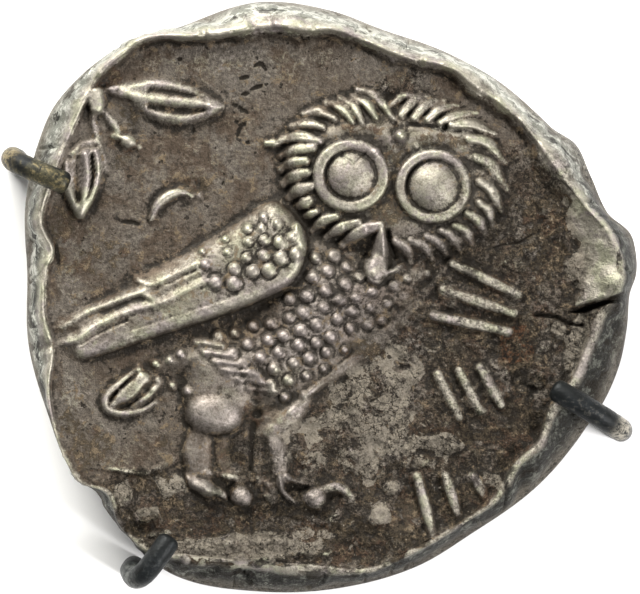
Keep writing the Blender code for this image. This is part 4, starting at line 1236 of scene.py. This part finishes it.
def crusted(m, skin):
    """The skin under a dark crust where it is eaten and under soil where earth stays on it.
    Also how far soil covers it."""
    crust = (m.foul * 0.5 + m.ragged).at(0.33, 0.55, 0, 0.85) * m.rise.at(0.1, 0.5, 1, 0.2)
    loam = m.patches.at(0.5, 0.6).mix(EARTHY, REDDISH)
    skin = crust.mix(skin, loam)
    skin = (m.patches.at(0.47, 0.41, 0, 0.75) * m.foul).mix(skin, UMBER)
    soil = (m.earth.at(0.87, 0.97) * m.patches.at(0.42, 0.52)).mix(loam, RUST)
    soil = m.specks.at(0.5, 0.42).mix(soil, UMBER)
    soil = m.specks.at(0.55, 0.63, 0, 0.75).mix(soil, LOAMY)
    covered = (m.earth + m.ragged).at(0.1, 0.5, 0, 0.94) * m.height.at(0.12, 0.04)
    return covered.mix(skin, soil), covered


def bared(m, skin, metal):
    """The skin with plates of ashen metal where it is bare, and on the swollen corner's facet lighter
    metal that is painted light. Also where the plates are.
    """
    whole = m.net.at(0, 0.05) | (m.foul.at(0.6, 0.2) | m.rise.at(0.05, 0.3))
    plates = (m.bare + m.jagged.at(0.35, 0.65, -0.4, 0.4)).at(0.35, 0.5, 0, 0.88) * whole
    return plates.mix(skin, m.rise.at(0.3, 0.9).mix(ASHEN, metal)), plates


def edged(m, skin):
    """The skin with the coin's outer edge, pale on one side and blackened on the other. The pale
    top is partly bare metal and partly painted light, and the black flaws on the lower right are
    partly stains and partly painted shade. Also where it is black."""
    side = (m.specks + m.pale.at(0, 1, -0.13, 0)).at(0.46, 0.54).mix(EDGE_GREY, EDGE_PALE_AND_LIT)
    flaws_and_shade = (m.stains + m.pale.at(0, 1, 0.3, -0.035)).at(0.52, 0.6)
    beyond = (m.over + m.unsure * 0.5).at(0.04, m.pale.at(0.3, 0.6, 0.2, 0.5))
    stained = m.specks.at(0.5, 0.6, 0, 0.45).mix(EDGE_BLACK_AND_SHADE, EDGE_GREY)
    stained = m.patches.at(0.46, 0.4, 0, 0.9).mix(stained, UMBER)
    lower_edge_tone_and_shade = m.blots.at(0.42, 0.58).mix(TONED_GREY, ASHEN)
    # Further down the edge, towards the girdle, the side turns a darker toned grey: partly tone, partly
    # painted shade.
    side = m.over.at(0.45, 0.95, 0, 0.8).mix(flaws_and_shade.mix(side, stained), lower_edge_tone_and_shade)
    return beyond.mix(skin, side), beyond * flaws_and_shade


def pitted(m, skin, plates):
    """The skin with dark holes, cracks and grains and pale grains. Also how rough it is."""
    holes = m.pores.at(0.66, 0.7) * m.coarse.at(0.3, 1, 0, 0.9)
    broken = m.net.at(0.035, 0.005) * (m.foul.at(0.3, 0.8) * m.blots.at(0.42, 0.55))
    skin = (broken * m.rise.at(0.3, 0.05, 0, 0.8) | holes).mix(skin, UMBER)
    rough = m.coarse * m.foul.at(0, 0.7, 0.35, 1) * plates.at(0, 1, 1, 0.45)
    for grains, least, most, shade in (
            (m.grain.at(0.52, 0.4), 0.08, 0.95, UMBER), (m.grain.at(0.62, 0.7), 0.05, 0.3, CHALK),
            (m.dust.at(0.52, 0.38), 0.22, 0.65, UMBER)):
        skin = (grains * rough.at(0, 1, least, most)).mix(skin, shade)
    return skin, rough


def struck_silver():
    """Old silver: the struck skin, then crust, soil, bare plates, cuts and low places darkened with
    dirt and painted shade, edge and pits.
    """
    m = coin_marks()
    skin, metal = struck_skin(m)
    skin, covered = crusted(m, skin)
    skin, plates = bared(m, skin, metal)
    # Painted shade: low places beside raised forms and cut lines go dark umber and dull, partly as dirt
    # and partly as the shade that falls there.
    sunk_dirt_and_shade = (m.near + m.unsure).at(-0.035, -0.14) * 0.85 | m.cut.at(0.05, 0.17)
    skin, black = edged(m, sunk_dirt_and_shade.mix(skin, UMBER))
    skin, rough = pitted(m, skin, plates)
    dull = sunk_dirt_and_shade | black | covered
    dents = (m.specks * (m.coarse + m.foul)).bump(0.09)
    return m.nodes.finish(
        Base_Color=skin, Metallic=dull.at(0, 1, 0.86, 0.1), Specular_IOR_Level=dull.at(0, 1, 0.5, 0.07),
        Roughness=(m.specks + m.height).at(0.3, 1, 0.58, 0.5),
        Normal=(m.grain * rough).bump(0.085, Normal=dents))


WIRE_BLACK = (0.008, 0.009, 0.009, 1)
WIRE_BLUE = (0.012, 0.014, 0.015, 1)
WIRE_OLIVE = (0.05, 0.046, 0.028, 1)
WIRE_BARE = (0.36, 0.33, 0.27, 1)
WIRE_GREY = (0.085, 0.09, 0.082, 1)
BRASS = (0.22, 0.175, 0.09, 1)

# Each hook's second shade, the metal that shows through, and how much shows along its length.
WIRE_SHADES = {
    "display_hook_left": (WIRE_OLIVE, BRASS, 0.5),
    "display_hook_right": (WIRE_BLUE, WIRE_BARE, 0.1),
    "display_hook_lower": (WIRE_BLUE, WIRE_GREY, 0.2),
}


def blackened_wire(name):
    """Blackened wire, rubbed through to the metal over its outer bend."""
    n = Nodes(name + "_finish")
    second, bare, amount = WIRE_SHADES[name]
    blots = n.noise(0.9, 4, 0.6, 0.3)
    scratches = n.noise(0.2, 4, 0.75)
    shade = blots.at(0.42, 0.6).mix(WIRE_BLACK, second)
    rubbed = n.mask("worn") * scratches.at(0.38, 0.58)
    scuffs = scratches.at(0.52, 0.62, 0, amount) * blots.at(0.45, 0.55)
    shade = (rubbed | scuffs).mix(shade, bare)
    shade = scratches.at(0.48, 0.36, 0, 0.8).mix(shade, WIRE_BLACK)
    return n.finish(Base_Color=shade, Metallic=0.4, Specular_IOR_Level=0.15,
                    Roughness=scratches.at(0.3, 0.7, 0.5, 0.34), Normal=scratches.bump(0.03))


# ---- the studio

# What the camera sees across, its height over the floor and its sensor, in millimetres.
VIEW_WIDTH = 25.99
CAMERA_UP = 300
SENSOR = 36

FLOOR_REACH = 0.6
FLOOR_PAINT = (0.86, 0.86, 0.85, 1)
FLOOR_ROUGHNESS = 0.9
WORLD_WHITE = (1, 1, 1, 1)
WORLD_STRENGTH = 0.3

# Each light's bearing and elevation in degrees, size in metres, power and tint.
LIGHTS = {
    "key": (112, 30, 0.24, 3.7, (1, 0.985, 0.95)),
    "fill": (-24, 44, 0.1, 1.8, (1, 0.985, 0.99)),
}
LIGHT_AWAY = 0.35


def make_floor():
    shape = bmesh.new()
    bmesh.ops.create_grid(shape, x_segments=1, y_segments=1, size=FLOOR_REACH)
    floor = shown("studio_floor", mesh_of(shape, "studio_floor"))
    floor.location.z = cad_box[0][2]
    paint = Nodes("floor_paint").finish(Base_Color=FLOOR_PAINT, Roughness=FLOOR_ROUGHNESS)
    floor.data.materials.append(paint)


def soft_light(name, bearing, elevation, size, power, tint):
    """A square area light that far round and up, aimed at the coin."""
    data = bpy.data.lights.new(name, "AREA")
    data.size = size
    data.energy = power
    data.color = tint
    light = shown(name, data)
    turn, rise = math.radians(bearing), math.radians(elevation)
    out = LIGHT_AWAY * math.cos(rise)
    light.location = (out * math.cos(turn), out * math.sin(turn), LIGHT_AWAY * math.sin(rise))
    light.rotation_euler = (math.pi / 2 - rise, 0, turn + math.pi / 2)


def make_camera():
    """A camera straight above the coin."""
    data = bpy.data.cameras.new("camera")
    data.sensor_width = SENSOR
    data.lens = SENSOR * (CAMERA_UP - FIELD_Z) / VIEW_WIDTH
    data.clip_start = 0.01
    camera = shown("camera", data)
    camera.location = (0, 0, CAMERA_UP * MM)
    bpy.context.scene.camera = camera


def make_studio():
    make_floor()
    for name, settings in LIGHTS.items():
        soft_light(name, *settings)
    world = bpy.data.worlds.new("studio")
    world.use_nodes = True
    sky = world.node_tree.nodes["Background"].inputs
    sky["Color"].default_value = WORLD_WHITE
    sky["Strength"].default_value = WORLD_STRENGTH
    bpy.context.scene.world = world
    bpy.context.scene.view_settings.view_transform = "Standard"
    make_camera()


def put_on(obj, material, node):
    """The piece stands for a CAD node: it takes the given material and rides with the root body,
    and the node is hidden.
    """
    obj.data.materials.append(material)
    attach(obj, "root")
    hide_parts(node)


def main():
    low, high = np.asarray(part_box("coin"))[:, :2] / MM
    turns = np.linspace(-math.pi, math.pi, 1440)
    own = np.stack(from_middle(turns, around_outline(GIRDLE)(turns)))
    middle = (low + high) / 2 - (own.min(axis=1) + own.max(axis=1)) / 2
    put_on(make_coin(middle), struck_silver(), "coin")
    for name, route in HOOKS.items():
        hook = make_hook(name, route, middle)
        store(hook.data, "worn", bend_wear(hook.data, route, middle))
        put_on(hook, blackened_wire(name), name)
    make_studio()


main()
